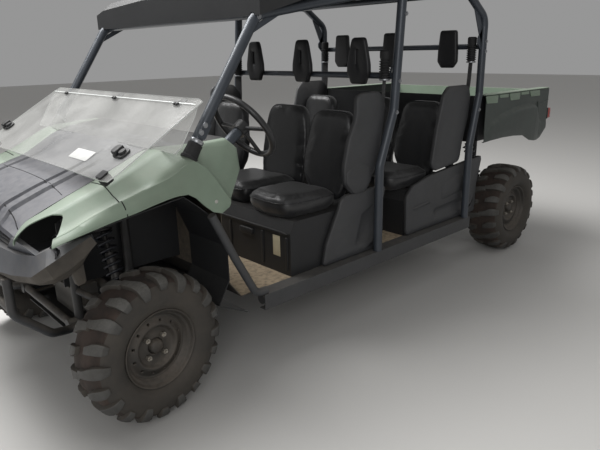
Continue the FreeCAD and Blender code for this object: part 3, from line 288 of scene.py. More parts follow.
def rim_piece(name, half, face):
    """Lip, disc and well as one lathe shape, from the lip over the disc to the middle and back."""
    front = [(RIM_LIP - 0.004, half - 0.003), (RIM_LIP, half - 0.001), (RIM_LIP + 0.001, half + 0.003),
             (RIM_LIP - 0.003, half + 0.005), (0.160, half), (0.157, half - 0.010), (0.153, half - 0.016),
             (0.147, half - 0.017), (0.143, half - 0.021), (0.136, half - 0.040), (0.128, face - 0.008),
             (0.120, face - 0.004), (0.104, face + 0.004), (0.098, face + 0.007), (0.093, face + 0.007),
             (0.088, face + 0.002), (0.083, face - 0.009), (0.078, face - 0.012), (0.042, face - 0.012),
             (0.036, face - 0.009), (0.034, face - 0.011)]
    back = [(0.034, face - 0.016), (0.126, face - 0.014), (0.146, half - 0.030), (0.147, -half + 0.020),
            (RIM_SEAT, -half + 0.004), (RIM_LIP - 0.002, -half), (RIM_LIP - 0.001, -half + 0.003),
            (RIM_SEAT - 0.003, -half + 0.016), (0.151, -half + 0.024), (0.151, half - 0.022),
            (RIM_SEAT - 0.002, half - 0.014), (RIM_LIP - 0.004, half - 0.003)]
    rim = solid(name, lathe(front + back, 96), rim_paint)
    drills = []
    for k in range(HOLES):
        angle = 2 * math.pi * (k + 0.5) / HOLES
        middle = (HOLE_CIRCLE * math.cos(angle), HOLE_CIRCLE * math.sin(angle))
        drills.append(prism(circle(HOLE_RADIUS, 16, middle), 1, face - DRILL_REACH, face + DRILL_REACH))
    return cut_away(rim, merged(*drills), "EXACT")


def nut_piece(name, face):
    """Hexagon nuts with the stud's end standing out of each."""
    shapes = []
    for k in range(NUTS):
        angle = math.pi / 4 + 2 * math.pi * k / NUTS
        middle = (NUT_CIRCLE * math.cos(angle), NUT_CIRCLE * math.sin(angle))
        shapes += [prism(circle(NUT_RADIUS, 6, middle), 1, face - 0.013, face + 0.003),
                   prism(circle(STUD_RADIUS, 10, middle), 1, face, face + 0.010)]
    return rounded(solid(name, merged(*shapes), nut_plate, smooth=False), NUT_EDGE)


def cap_piece(name, face):
    """The hub's plain end and the drum behind the disc's holes."""
    cap = lathe([(0.0001, face + 0.012), (0.020, face + 0.011), (0.028, face + 0.006), (0.031, face - 0.004),
                 (0.033, face - 0.02)], 40)
    drum = lathe([(0.036, face - 0.05), (0.120, face - 0.05), (0.120, face - 0.075), (0.036, face - 0.075)], 48)
    return solid(name, merged(cap, drum), rim_paint)


spins = {joint["child"]: joint for joint in frame["joints"] if joint["child"].startswith("wheel_")}
for body, joint in spins.items():
    spot = body[len("wheel_"):]
    half = SEAT_SHARE * WIDTHS[spot.split("_")[0]] / 2
    face = half - DISC_INSET
    rim = rim_piece("pressed_rim_" + spot, half, face)
    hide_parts("rim_" + spot)
    for piece in (rim, nut_piece("wheel_nuts_" + spot, face), cap_piece("hub_cap_" + spot, face)):
        piece.data.transform(wheel_place(joint))
        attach(piece, body)

# Tyres.
# Moulded rubber: a rounded carcass with staggered bars that run from the middle of the tread over
# the shoulder and down the side wall. Wear leaves the bars' tops pale, and mud fills the grooves.

TYRE_RADIUS, BAR_HEIGHT, BAR_DRAFT, BAR_SINK, BARS = 0.3175, 0.017, 0.0035, -0.004, 20
GROOVE_RADIUS = 0.284
# share of the half width, radius
TYRE_PROFILE = ((0.0, 0.3005), (0.30, 0.2998), (0.55, 0.2970), (0.74, 0.2905), (0.86, 0.2790), (0.94, 0.2620),
                (0.985, 0.2420), (1.0, 0.2230), (0.985, 0.2060), (0.94, 0.1900), (0.88, 0.1800), (0.83, 0.1755),
                (0.80, 0.1705), (0.79, 0.1690))
# distance from the tread's middle, the bar's two edges round the tyre and its height as a share
LONG_BAR = ((-0.006, -0.036, -0.006, 1.0), (0.020, -0.033, 0.000, 1.0), (0.042, -0.029, 0.010, 1.0),
            (0.060, -0.025, 0.022, 1.0), (0.078, -0.022, 0.030, 1.0), (0.094, -0.021, 0.031, 0.95),
            (0.108, -0.019, 0.029, 0.80), (0.122, -0.016, 0.026, 0.55), (0.134, -0.012, 0.022, 0.25))
SHORT_BAR = ((0.026, -0.030, -0.002, 1.0), (0.044, -0.028, 0.008, 1.0), (0.060, -0.024, 0.020, 1.0),
             (0.078, -0.021, 0.026, 1.0), (0.094, -0.019, 0.026, 0.95), (0.106, -0.016, 0.023, 0.70),
             (0.116, -0.012, 0.019, 0.35))
tyre_rubber = shade("muddy_rubber", (0.034, 0.031, 0.027), 0.70, second=(0.058, 0.050, 0.041), patch=7,
                    dust=(0.12, 0.098, 0.078), dusty=0.30, grain=320, depth=0.35)
groove_rubber = shade("muddy_groove", (0.052, 0.034, 0.026), 0.9, second=(0.030, 0.025, 0.022), patch=11,
                      grain=180, depth=0.6)
worn_rubber = shade("worn_bar_top", (0.060, 0.059, 0.056), 0.55, second=(0.036, 0.034, 0.031), patch=16,
                    dust=(0.20, 0.19, 0.17), dusty=0.5, grain=260, depth=0.4)
RUBBERS = (tyre_rubber, groove_rubber, worn_rubber)
WALL_KIND, GROOVE_KIND, TOP_KIND = range(3)


def tyre_path(width):
    """Points from the tread's middle to the bead as (distance along, y, radius)."""
    path, run, last = [], 0.0, None
    for share, radius in TYRE_PROFILE:
        y = share * width / 2
        if last:
            run += math.hypot(y - last[0], radius - last[1])
        path.append((run, y, radius))
        last = (y, radius)
    return path


def on_path(path, run):
    """Place and outward direction (y, radius) at a distance along the path; negative crosses the middle."""
    side = 1 if run >= 0 else -1
    run = abs(run)
    for (r0, y0, q0), (r1, y1, q1) in zip(path, path[1:]):
        if run <= r1:
            break
    share = (run - r0) / (r1 - r0)
    y, q = y0 + (y1 - y0) * share, q0 + (q1 - q0) * share
    reach = math.hypot(y1 - y0, q1 - q0)
    return y * side, q, (q0 - q1) / reach * side, (y1 - y0) / reach


def bar(path, table, stretch, side, angle):
    """One tread bar as a shape with a drafted flank all round, and how many of its faces lie on top."""
    points, rows, cols = [], len(table), 5
    for foot in (True, False):
        widen = BAR_DRAFT if foot else 0.0
        for row, (run, left, right, height) in enumerate(table):
            run = run * stretch
            if foot and row in (0, rows - 1):
                run += BAR_DRAFT if row else -BAR_DRAFT
            y, radius, ny, nr = on_path(path, run)
            rise = BAR_SINK if foot else height * BAR_HEIGHT
            for k in range(cols):
                s = (left - widen) + (right - left + 2 * widen) * k / (cols - 1)
                turn = angle + side * s / TYRE_RADIUS
                q = radius + nr * rise
                points.append((q * math.cos(turn), side * (y + ny * rise), q * math.sin(turn)))
    top = rows * cols
    faces = []
    for i in range(rows - 1):
        for k in range(cols - 1):
            a = top + i * cols + k
            faces.append((a, a + 1, a + cols + 1, a + cols))
    tops = len(faces)
    border = [k for k in range(cols)] + [i * cols + cols - 1 for i in range(1, rows)]
    border += [(rows - 1) * cols + k for k in range(cols - 2, -1, -1)]
    border += [i * cols for i in range(rows - 2, 0, -1)]
    for a, b in zip(border, border[1:] + border[:1]):
        faces.append((a, b, b + top, a + top))
    return points, faces, tops


def tyre_piece(name, width):
    path = tyre_path(width)
    outer = [(q, y) for _, y, q in reversed(path)] + [(q, -y) for _, y, q in path[1:]]
    inner = [(0.1685, -0.76 * width / 2), (0.1700, -0.55 * width / 2), (0.1700, 0.55 * width / 2),
             (0.1685, 0.76 * width / 2), outer[0]]
    points, faces = lathe(outer + inner, 120)
    kinds = []
    for face in faces:
        middle = sum((Vector(points[i]) for i in face), Vector()) / 4
        kinds.append(GROOVE_KIND if math.hypot(middle.x, middle.z) > GROOVE_RADIUS else WALL_KIND)
    stretch = 0.94 + 0.06 * width / WIDTHS["front"]
    for side in (1, -1):
        for k in range(BARS):
            angle = 2 * math.pi * (k + 0.25 * side) / BARS
            more_points, more_faces, tops = bar(path, SHORT_BAR if k % 2 else LONG_BAR, stretch, side, angle)
            start = len(points)
            points += more_points
            for i, face in enumerate(more_faces):
                faces.append(tuple(v + start for v in face))
                kinds.append(TOP_KIND if i < tops else WALL_KIND)
    tyre = from_faces(name, (points, faces), *RUBBERS)
    tyre.data.polygons.foreach_set("material_index", kinds)
    true_faces(tyre.data)
    return rounded(tyre, 0.0028, 2, 32)


for body, joint in spins.items():
    spot = body[len("wheel_"):]
    tyre = tyre_piece("knobbly_tyre_" + spot, WIDTHS[spot.split("_")[0]])
    tyre.data.transform(wheel_place(joint))
    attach(tyre, body)
    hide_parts("tyre_" + spot)

# Floor and sills.
# The floor is one moulded sheet, caked with tan mud where feet rest. Grey plastic covers clip over the
# sill tubes and black liners shield the cab. A black sheet under the front rails is painted shade: it darkens
# the view under the front end, where the floor would show bright.

SHADE_SHEET_OUTLINE = ((0.93, -0.300), (1.640, -0.300), (1.690, -0.230), (1.690, 0.230), (1.640, 0.300), (0.93, 0.300))
SHADE_SHEET_THICK = 0.0035
mud_floor = shade("muddy_floor", (0.030, 0.028, 0.026), 0.85, second=(0.060, 0.052, 0.042), patch=6,
                  dust=(0.40, 0.315, 0.215), dusty=1.1, grain=120, depth=0.7)
grey_plastic = shade("dark_grey_plastic", (0.050, 0.052, 0.056), 0.52, second=(0.040, 0.041, 0.044), patch=4,
                     dust=(0.24, 0.215, 0.18), dusty=0.30, grain=700, depth=0.35)
black_plastic = shade("black_plastic", (0.014, 0.015, 0.017), 0.5, patch=5, dust=(0.16, 0.145, 0.125),
                      dusty=0.16, grain=700, depth=0.35)
cover(mud_floor, "floor_pan")
cover(grey_plastic, "rocker_covers")
cover(black_plastic, "wheel_liners")
# a black sheet under the front rails, painted shade: it keeps the bright floor from showing under the front end
rails_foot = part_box("chassis_frame")[0].z
painted_shade_sheet = solid("front_painted_shade_sheet", prism(SHADE_SHEET_OUTLINE, 2, rails_foot - SHADE_SHEET_THICK, rails_foot), black_plastic,
                   smooth=False)
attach(painted_shade_sheet, "vehicle")

# Seats.
# Two rows of three: moulded foam pads under black vinyl, welted round the edge of the face, on moulded
# black boxes. The middle seat stands a hand's width further back than the outer two.

PAD_VOXEL, PAD_SWELL, PAD_PRESSURE, SWELL_FRAMES = 0.009, 0.008, 4.0, 20
WELT, WELT_LIFT = 0.0032, 0.35
# x of the cushions' rear edge and the height of the box under them
SEAT_ROWS = {"front": (0.300, 0.651), "rear": (-0.548, 0.643)}
BACK_HIGH, BACK_LEAN, BACK_THICK, MIDDLE_SETBACK = 0.520, 0.075, 0.088, 0.090
# the sat-on faces: how deep they are hollowed, over what length, and the level at which the face begins
DIP, DIP_LENGTH, DIP_LEVEL = 0.010, 0.42, 0.09
HOLLOW, HOLLOW_MIDDLE, HOLLOW_LEVEL = 0.010, 0.26, 0.075
# plan of a cushion from its rear edge, its width from one side: forward, across, corner radius
OUTER_CUSHION = ((0.012, 0.016, 0.05), (0.240, 0.004, 0.20), (0.396, 0.030, 0.09), (0.408, 0.200, 0.25),
                 (0.392, 0.360, 0.10), (0.240, 0.388, 0.20), (0.012, 0.380, 0.05))
MIDDLE_CUSHION = ((0.010, 0.014, 0.04), (0.300, 0.006, 0.20), (0.432, 0.030, 0.08), (0.440, 0.226, 0.30),
                  (0.432, 0.422, 0.08), (0.300, 0.446, 0.20), (0.010, 0.438, 0.04))
# how far in from the plan and how high above the seat box
CUSHION_LEVELS = ((0.050, 0.001), (0.030, 0.006), (0.014, 0.026), (0.006, 0.050), (0.006, 0.074),
                  (0.018, 0.098), (0.044, 0.110), (0.085, 0.113))
CUSHION_SEAM = ((0.006, 0.080),)
# a back seen from the front: across from its middle, height, corner radius
OUTER_BACK = ((-0.098, 0.006, 0.05), (-0.178, 0.130, 0.14), (-0.182, 0.260, 0.16), (-0.128, 0.512, 0.11),
              (0.150, 0.512, 0.09), (0.184, 0.400, 0.16), (0.184, 0.130, 0.14), (0.130, 0.006, 0.05))
MIDDLE_BACK = ((-0.186, 0.006, 0.04), (-0.212, 0.180, 0.16), (-0.198, 0.360, 0.16), (-0.158, 0.512, 0.10),
               (0.158, 0.512, 0.10), (0.198, 0.360, 0.16), (0.212, 0.180, 0.16), (0.186, 0.006, 0.04))
# how far in from the outline and how far forward of the back's rear face
BACK_LEVELS = ((0.030, 0.006), (0.012, 0.012), (0.006, 0.034), (0.006, 0.054), (0.014, 0.070), (0.034, 0.079),
               (0.070, 0.081))
BACK_SEAM = ((0.010, 0.066),)
vinyl = shade("black_vinyl", (0.014, 0.0145, 0.016), 0.34, second=(0.021, 0.0215, 0.023), patch=8,
              dust=(0.13, 0.125, 0.115), dusty=0.16, grain=1100, depth=0.4, gloss=0.15, sheen=0.1)
welt_vinyl = shade("welt_vinyl", (0.022, 0.022, 0.024), 0.30, patch=20, grain=1500, depth=0.2, gloss=0.2)
label_stock = shade("blank_label", (0.42, 0.37, 0.25), 0.6, second=(0.50, 0.44, 0.30), patch=30, grain=900,
                    dust=DUST, dusty=0.3)


def arc_outline(corners, count=72):
    """A closed outline with rounded corners as evenly spaced points; a corner is (a, b, radius)."""
    path = []
    for k, (a, b, radius) in enumerate(corners):
        here, before = Vector((a, b)), Vector(corners[k - 1][:2])
        after = Vector(corners[(k + 1) % len(corners)][:2])
        back, on = (before - here).normalized(), (after - here).normalized()
        reach = radius / math.tan(back.angle(on) / 2)
        reach = min(reach, 0.48 * (before - here).length, 0.48 * (after - here).length)
        start, end = here + back * reach, here + on * reach
        path += [(1 - t) ** 2 * start + 2 * t * (1 - t) * here + t * t * end for t in (i / 8 for i in range(9))]
    runs = [0.0]
    for p, q in zip(path, path[1:] + path[:1]):
        runs.append(runs[-1] + (q - p).length)
    points, i = [], 0
    for k in range(count):
        want = runs[-1] * k / count
        while runs[i + 1] < want:
            i += 1
        share = (want - runs[i]) / max(runs[i + 1] - runs[i], 1e-9)
        points.append(path[i].lerp(path[(i + 1) % len(path)], share))
    return points


def oblong(a_low, b_low, a_high, b_high, radius):
    """The outline of an oblong whose four corners are rounded alike."""
    return arc_outline([(a, b, radius) for a, b in ((a_low, b_low), (a_high, b_low), (a_high, b_high),
                                                    (a_low, b_high))])


def shrunk(outline, by):
    """An outline drawn in towards its middle by about the same width on every side."""
    low = Vector((min(p.x for p in outline), min(p.y for p in outline)))
    high = Vector((max(p.x for p in outline), max(p.y for p in outline)))
    middle, half = (low + high) / 2, (high - low) / 2
    return [Vector((middle.x + (p.x - middle.x) * (1 - by / half.x),
                    middle.y + (p.y - middle.y) * (1 - by / half.y))) for p in outline]


def stack(rings, ring_closed=False):
    """The shape of rings joined one after the other, capped at both ends or closed on itself."""
    count = len(rings[0])
    points = [tuple(p) for ring in rings for p in ring]
    faces = []
    for level in range(len(rings) if ring_closed else len(rings) - 1):
        here, ahead = level * count, (level + 1) % len(rings) * count
        for k in range(count):
            nxt = (k + 1) % count
            faces.append((here + k, here + nxt, ahead + nxt, ahead + k))
    if not ring_closed:
        faces.append(tuple(range(count))[::-1])
        faces.append(tuple(range(len(points) - count, len(points))))
    return points, faces


def bead(path, radius, sides=8, closed=True):
    """The shape of a round cord along a path of points."""
    rings, count = [], len(path)
    for k, here in enumerate(path):
        before = path[k - 1] if closed or k else here
        after = path[(k + 1) % count] if closed or k < count - 1 else here
        along = (Vector(after) - Vector(before)).normalized()
        across = (across - along * across.dot(along)).normalized() if rings else along.orthogonal().normalized()
        up = along.cross(across)
        rings.append([Vector(here) + (across * math.cos(a) + up * math.sin(a)) * radius
                      for a in (2 * math.pi * i / sides for i in range(sides))])
    return stack(rings, ring_closed=closed)


def smoothed(thing):
    """One step of smoothing."""
    soften = thing.modifiers.new("smooth", "SUBSURF")
    soften.levels = soften.render_levels = 1
    return keep(thing)


def swollen(pad):
    """Blows the pad up from inside as foam does under its cover, by no more than the swell."""
    grid = pad.modifiers.new("grid", "REMESH")
    grid.mode = "VOXEL"
    grid.voxel_size = PAD_VOXEL
    grid.use_smooth_shade = True
    keep(pad)
    rest = [v.co.copy() for v in pad.data.vertices]
    cloth = pad.modifiers.new("cover", "CLOTH")
    cloth.settings.quality = 5
    cloth.settings.mass = 0.3
    cloth.settings.tension_stiffness = 15
    cloth.settings.compression_stiffness = 15
    cloth.settings.bending_stiffness = 0.5
    cloth.settings.use_pressure = True
    cloth.settings.uniform_pressure_force = PAD_PRESSURE
    cloth.settings.effector_weights.gravity = 0.0
    cloth.point_cache.frame_start, cloth.point_cache.frame_end = 1, SWELL_FRAMES
    scene = bpy.context.scene
    for frame_number in range(1, SWELL_FRAMES + 1):
        scene.frame_set(frame_number)
    keep(pad)
    for vertex, start in zip(pad.data.vertices, rest):
        move = vertex.co - start
        if move.length > PAD_SWELL:
            vertex.co = start + move * (PAD_SWELL / move.length)
    scene.frame_set(1)
    return smoothed(pad)


def pad_piece(name, rings):
    pad = solid(name, stack(rings), vinyl)
    swollen(pad)
    pad.data.shade_smooth()
    return pad


def welt_piece(name, ring, pad):
    """A welt that lies on the pad's cover along a ring of points."""
    bpy.context.view_layer.update()
    path = []
    for point in ring:
        _, spot, normal, _ = pad.closest_point_on_mesh(Vector(point))
        path.append(spot + normal * WELT * WELT_LIFT)
    return solid(name, bead(path, WELT), welt_vinyl)


def cushion_rings(plan, levels, rear, side, low):
    """Rings of a cushion whose upper face dips towards the rear."""
    rings = []
    for inward, high in levels:
        ring = []
        for p in shrunk(plan, inward):
            dip = DIP * (1 - p.x / DIP_LENGTH) if high > DIP_LEVEL else 0.0
            ring.append((rear + p.x, side + p.y, low + high - dip))
        rings.append(ring)
    return rings


def back_rings(plan, levels, foot, middle, low):
    """Rings of a leaning back whose face is hollow across the middle."""
    rings = []
    for inward, depth in levels:
        ring = []
        for p in shrunk(plan, inward):
            aside = min(1, abs(p.y - HOLLOW_MIDDLE) / HOLLOW_MIDDLE)
            hollow = HOLLOW * math.cos(math.pi * aside / 2) if depth > HOLLOW_LEVEL else 0.0
            x = foot - BACK_THICK - BACK_LEAN * p.y / BACK_HIGH + depth - hollow
            ring.append((x, middle + p.x, low + p.y))
        rings.append(ring)
    return rings


def moved(source, name, offset, mirrored):
    """A copy of a finished piece, set over, and turned into its mirror image where asked."""
    twin = source.copy()
    twin.name, twin.data = name, source.data.copy()
    turn = Matrix.Diagonal((1, -1, 1, 1)) if mirrored else Matrix.Identity(4)
    twin.data.transform(Matrix.Translation(offset) @ turn)
    if mirrored:
        twin.data.flip_normals()
    bpy.context.scene.collection.objects.link(twin)
    return twin


def seat_parts(spot, cushion_corners, side, back_corners, middle, setback):
    """The four parts of one seat of the front row: cushion, its welt, back and its welt."""
    rear, low = SEAT_ROWS["front"]
    rear -= setback
    plan, outline = arc_outline(cushion_corners), arc_outline(back_corners)
    cushion = pad_piece(spot + "_cushion", cushion_rings(plan, CUSHION_LEVELS, rear, side, low))
    seam = cushion_rings(plan, CUSHION_SEAM, rear, side, low)[0]
    back = pad_piece(spot + "_back", back_rings(outline, BACK_LEVELS, rear, middle, low))
    edge = back_rings(outline, BACK_SEAM, rear, middle, low)[0]
    return (cushion, welt_piece(spot + "_cushion_welt", seam, cushion), back,
            welt_piece(spot + "_back_welt", edge, back))


outer_seat = seat_parts("outer", OUTER_CUSHION, 0.246, OUTER_BACK, 0.450, 0.0)
middle_seat = seat_parts("middle", MIDDLE_CUSHION, -0.226, MIDDLE_BACK, 0.0, MIDDLE_SETBACK)
for row, (rear, low) in SEAT_ROWS.items():
    shift = Vector((rear - SEAT_ROWS["front"][0], 0, low - SEAT_ROWS["front"][1]))
    for spot, pattern, flipped in (("left", outer_seat, False), ("middle", middle_seat, False),
                                   ("right", outer_seat, True)):
        for source, kind in zip(pattern, ("cushion", "cushion_welt", "back", "back_welt")):
            part = moved(source, "%s_%s_%s" % (row, spot, kind), shift, flipped)
            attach(part, "vehicle")
            if kind in ("cushion", "back"):
                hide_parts("seat_%ss" % kind)
for source in outer_seat + middle_seat:
    bpy.data.objects.remove(source)
cover(black_plastic, "seat_boxes")


def plate_piece(name, outline, axis, low, high, edge, *materials):
    """A flat piece with rounded edges: an outline pushed along an axis."""
    plate = rounded(solid(name, prism([(p[0], p[1]) for p in outline], axis, low, high), *materials, smooth=False),
                    edge)
    plate.data.shade_smooth()
    return plate


# the front box has a raised lid edge, a pull latch, ribs and a blank label that faces forward
BOX_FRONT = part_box("seat_boxes")[1].x
BOX_LABEL = ((0.505, 0.452), (0.560, 0.452), (0.560, 0.562), (0.505, 0.562))
LID_EDGE = ((-0.62, 0.575, 0.01), (0.62, 0.575, 0.01), (0.62, 0.590, 0.004), (-0.62, 0.590, 0.004))
box_parts = [plate_piece("box_label", BOX_LABEL, 0, BOX_FRONT - 0.0005, BOX_FRONT + 0.0012, 0.0004, label_stock),
             plate_piece("box_lid_edge", arc_outline(LID_EDGE), 0, BOX_FRONT - 0.002, BOX_FRONT + 0.007, 0.002,
                         black_plastic),
             plate_piece("box_latch", oblong(0.235, 0.520, 0.345, 0.556, 0.012), 0, BOX_FRONT - 0.002,
                         BOX_FRONT + 0.012, 0.003, black_plastic)]
for y in (-0.56, -0.42, -0.14, 0.14, 0.42, 0.61):
    box_parts.append(plate_piece("box_rib_%d" % round(y * 100), oblong(y - 0.009, 0.385, y + 0.009, 0.565, 0.003),
                                 0, BOX_FRONT - 0.002, BOX_FRONT + 0.005, 0.002, black_plastic))
for part in box_parts:
    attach(part, "vehicle")

# Side shells and headrests.
# Each outer seat is flanked by a blow-moulded grey shell over a lower panel with pressed fields, and hard
# black headrests are clamped to the cross tubes.

SIDES = ((1, "left"), (-1, "right"))
SHELL_IN, SHELL_FACE, SHELL_CROWN, SHELL_EDGE = 0.6405, 0.667, 0.006, 0.010
PANEL_FIELD_DEPTH = 0.007
# outlines in side view: x, z, corner radius
FRONT_SHELL = ((0.222, 1.246, 0.05), (0.228, 1.120, 0.12), (0.284, 1.010, 0.16), (0.318, 0.870, 0.10),
               (0.312, 0.780, 0.06), (0.250, 0.712, 0.06), (0.150, 0.714, 0.05), (0.096, 0.790, 0.06),
               (0.036, 0.880, 0.10), (0.004, 1.080, 0.20), (-0.012, 1.190, 0.06), (0.040, 1.250, 0.05))
FRONT_KNUCKLE = ((0.308, 0.860, 0.05), (0.308, 0.780, 0.05), (0.246, 0.716, 0.05), (0.152, 0.718, 0.04),
                 (0.104, 0.780, 0.04), (0.110, 0.856, 0.04), (0.200, 0.892, 0.05))
FRONT_PANEL = ((0.482, 0.364, 0.012), (0.454, 0.480, 0.05), (0.336, 0.700, 0.03), (0.300, 0.722, 0.02),
               (-0.030, 0.722, 0.02), (0.012, 0.560, 0.05), (0.034, 0.364, 0.012))
FRONT_FIELD = ((0.236, 0.412, 0.03), (0.176, 0.600, 0.05), (0.020, 0.640, 0.03), (0.052, 0.412, 0.03))
REAR_SHELL = ((-0.585, 1.190, 0.04), (-0.640, 1.238, 0.05), (-0.862, 1.238, 0.05), (-0.888, 1.165, 0.05),
              (-0.874, 1.030, 0.10), (-0.824, 0.880, 0.08), (-0.800, 0.748, 0.05), (-0.520, 0.724, 0.06),
              (-0.486, 0.770, 0.05), (-0.530, 1.000, 0.20))
REAR_PANEL = ((-0.245, 0.364, 0.012), (-0.236, 0.610, 0.04), (-0.300, 0.668, 0.04), (-0.480, 0.706, 0.05),
              (-1.092, 0.752, 0.02), (-1.040, 0.560, 0.06), (-1.034, 0.364, 0.012))
REAR_FIELD = ((-0.540, 0.412, 0.03), (-0.520, 0.480, 0.03), (-0.960, 0.500, 0.03), (-0.985, 0.412, 0.03))
RAISED_FIELD = ((-0.600, 0.622, 0.02), (-0.780, 0.672, 0.02), (-0.898, 0.640, 0.02), (-0.890, 0.548, 0.02),
                (-0.610, 0.520, 0.02))
REAR_RIB = ((-0.300, 0.512, 0.010), (-0.300, 0.532, 0.010), (-0.480, 0.548, 0.02), (-0.480, 0.528, 0.02))
shell_grey = shade("moulded_grey_shell", (0.050, 0.052, 0.056), 0.50, second=(0.038, 0.039, 0.042), patch=4,
                   dust=(0.20, 0.185, 0.165), dusty=0.22, grain=800, depth=0.3)


def side_rings(outline, steps):
    """Rings in side planes: an outline drawn in by a width at each step's y."""
    return [[Vector((p.x, y, p.y)) for p in shrunk(outline, inward)] for inward, y in steps]


def shell(corners, inner=SHELL_IN, face=SHELL_FACE, crown=SHELL_CROWN, edge=SHELL_EDGE):
    """The shape of a moulded shell, from its flat inside to a crowned outer face."""
    return stack(side_rings(arc_outline(corners), (
        (0.0, inner), (0.0, face - edge), (edge * 0.3, face - edge * 0.3), (edge, face),
        (edge * 3.2, face + crown * 0.55), (edge * 6.5, face + crown))))


def pressed_panel(corners, field):
    """A flat moulded panel with one field pressed in, as rings that run from its back over the edge."""
    # both outlines start at the corner that lies lowest and furthest forward, so their points pair up
    outer, hollow = arc_outline(corners, 96), arc_outline(field, 96)
    return stack(side_rings(outer, ((0.0, SHELL_IN), (0.0, SHELL_FACE - 0.006), (0.002, SHELL_FACE - 0.002),
                                    (0.006, SHELL_FACE))) +
                 side_rings(hollow, ((-0.005, SHELL_FACE), (0.0, SHELL_FACE - 0.001),
                                     (0.006, SHELL_FACE - PANEL_FIELD_DEPTH))))


def raised_field(corners, height, border=0.006):
    """A field raised from the panel's face, with sloped sides."""
    return stack(side_rings(arc_outline(corners), ((-border, SHELL_FACE - 0.001), (0.0, SHELL_FACE - 0.0005),
                                                   (border, SHELL_FACE + height))))


def both_sides(name, *shapes):
    """The left piece and its mirror image."""
    pair = []
    for side, word in SIDES:
        points, faces = merged(*shapes)
        pair.append(solid(name + "_" + word, ([(x, y * side, z) for x, y, z in points], faces), shell_grey))
    return pair


shells = both_sides("front_seat_shell", shell(FRONT_SHELL),
                    shell(FRONT_KNUCKLE, SHELL_FACE - 0.004, SHELL_FACE + 0.008, 0.003))
shells += both_sides("rear_seat_shell", shell(REAR_SHELL))
shells += both_sides("front_lower_panel", pressed_panel(FRONT_PANEL, FRONT_FIELD))
shells += both_sides("rear_lower_panel", pressed_panel(REAR_PANEL, REAR_FIELD), raised_field(RAISED_FIELD, 0.005),
                     raised_field(REAR_RIB, 0.006, 0.003))
for piece in shells:
    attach(piece, "vehicle")
    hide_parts("seat_sides")

# half outline of a headrest, from its foot up: across, height above the foot, corner radius
SLOTTED_REST = ((0.052, 0.002, 0.016), (0.066, 0.040, 0.02), (0.082, 0.062, 0.02), (0.080, 0.110, 0.03),
                (0.056, 0.215, 0.03), (0.044, 0.253, 0.022))
PLAIN_REST = ((0.044, 0.002, 0.012), (0.073, 0.040, 0.02), (0.072, 0.100, 0.06), (0.060, 0.238, 0.018))
REST_SLOT = ((0.009, 0.110, 0.008), (0.009, 0.190, 0.008))
FRONT_REST_Z, REAR_REST_Z, REST_THICK = 1.276, 1.337, 0.030
rest_black = shade("moulded_headrest", (0.012, 0.012, 0.014), 0.45, patch=9, dust=(0.12, 0.12, 0.12),
                   dusty=0.12, grain=900, depth=0.35)


def rest_rings(half, steps, middle, foot):
    """Rings of a headrest across the vehicle: its whole outline drawn in by a width at each step's x."""
    outline = arc_outline([(a, b, r) for a, b, r in half] + [(-a, b, r) for a, b, r in reversed(half)], 64)
    return [[Vector((x, middle + p.x, foot + p.y)) for p in shrunk(outline, inward)] for inward, x in steps]


def rest_shape(half, slot, x_low, middle, foot):
    x_high = x_low + REST_THICK
    rings = rest_rings(half, ((0.006, x_low), (0.0, x_low + 0.006), (0.0, x_high - 0.010),
                              (0.003, x_high - 0.003), (0.010, x_high), (0.022, x_high + 0.002)), middle, foot)
    if slot:
        rings += rest_rings(slot, ((-0.003, x_high + 0.002), (0.0, x_high - 0.002), (0.0, x_low + 0.002),
                                   (-0.002, x_low)), middle, foot)
    return stack(rings, ring_closed=bool(slot))


rest_low, rest_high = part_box("headrests")
shapes = [rest_shape(SLOTTED_REST, REST_SLOT, rest_high.x - REST_THICK, y, FRONT_REST_Z) for y in (0.46, 0.0, -0.46)]
shapes += [rest_shape(PLAIN_REST, None, rest_low.x, y, REAR_REST_Z) for y in (0.47, 0.0, -0.47)]
rests = solid("moulded_headrests", merged(*shapes), rest_black)
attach(rests, "vehicle")
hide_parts("headrests")

# Cage and roof.
# Round steel tube, bent and bolted, in a satin blue-grey powder coat, carries a moulded black roof. The
# front pillars end in rubber boots on the fenders, and webbing runs from sleeved reels on the rear two pairs.

CAGE_Y, CAGE_RADIUS, BAR_RADIUS, BEND = 0.700, 0.023, 0.020, 0.090
PILLAR_FOOT, PILLAR_KNEE = (1.276, 1.068), (0.905, 1.609)
RAIL_END = (-0.057, 0.688, 1.771)
KNEE_BAR_X, KNEE_BAR_Z = 0.880, 1.614
cage_coat = shade("blue_grey_powder_coat", (0.052, 0.062, 0.078), 0.36, metal=0.25, second=(0.040, 0.048, 0.060),
                  patch=3, dust=(0.22, 0.21, 0.20), dusty=0.16, depth=0.1, gloss=0.15)
black_rubber = shade("black_rubber", (0.014, 0.014, 0.015), 0.75, patch=12, grain=400, depth=0.3)
zinc_bolt = shade("zinc_bolt", (0.42, 0.43, 0.45), 0.35, metal=0.85, patch=60)
webbing = shade("belt_webbing", (0.018, 0.018, 0.020), 0.7, patch=6, grain=1600, depth=0.9, sheen=0.2)


def softened(thing, angle=32):
    """Smooth faces, with an edge left sharp where it turns by more than the angle."""
    thing.data.shade_smooth()
    thing.data.set_sharp_from_angle(angle=math.radians(angle))
    return thing


def bent_tube(corners, radius, steps=10, sides=20):
    """The shape of a tube that runs straight between corners and bends round them."""
    corners = [Vector(c) for c in corners]
    path = [corners[0]]
    for before, here, after in zip(corners, corners[1:], corners[2:]):
        back, on = (before - here).normalized(), (after - here).normalized()
        half = back.angle(on) / 2
        reach = min(BEND / math.tan(half), 0.48 * (before - here).length, 0.48 * (after - here).length)
        start, end = here + back * reach, here + on * reach
        swing = reach * math.tan(half)
        centre = here + (back + on).normalized() * (swing / math.sin(half))
        for k in range(steps + 1):
            arm = (start - centre).lerp(end - centre, k / steps)
            path.append(centre + arm.normalized() * swing)
    return bead(path + [corners[-1]], radius, sides, closed=False)


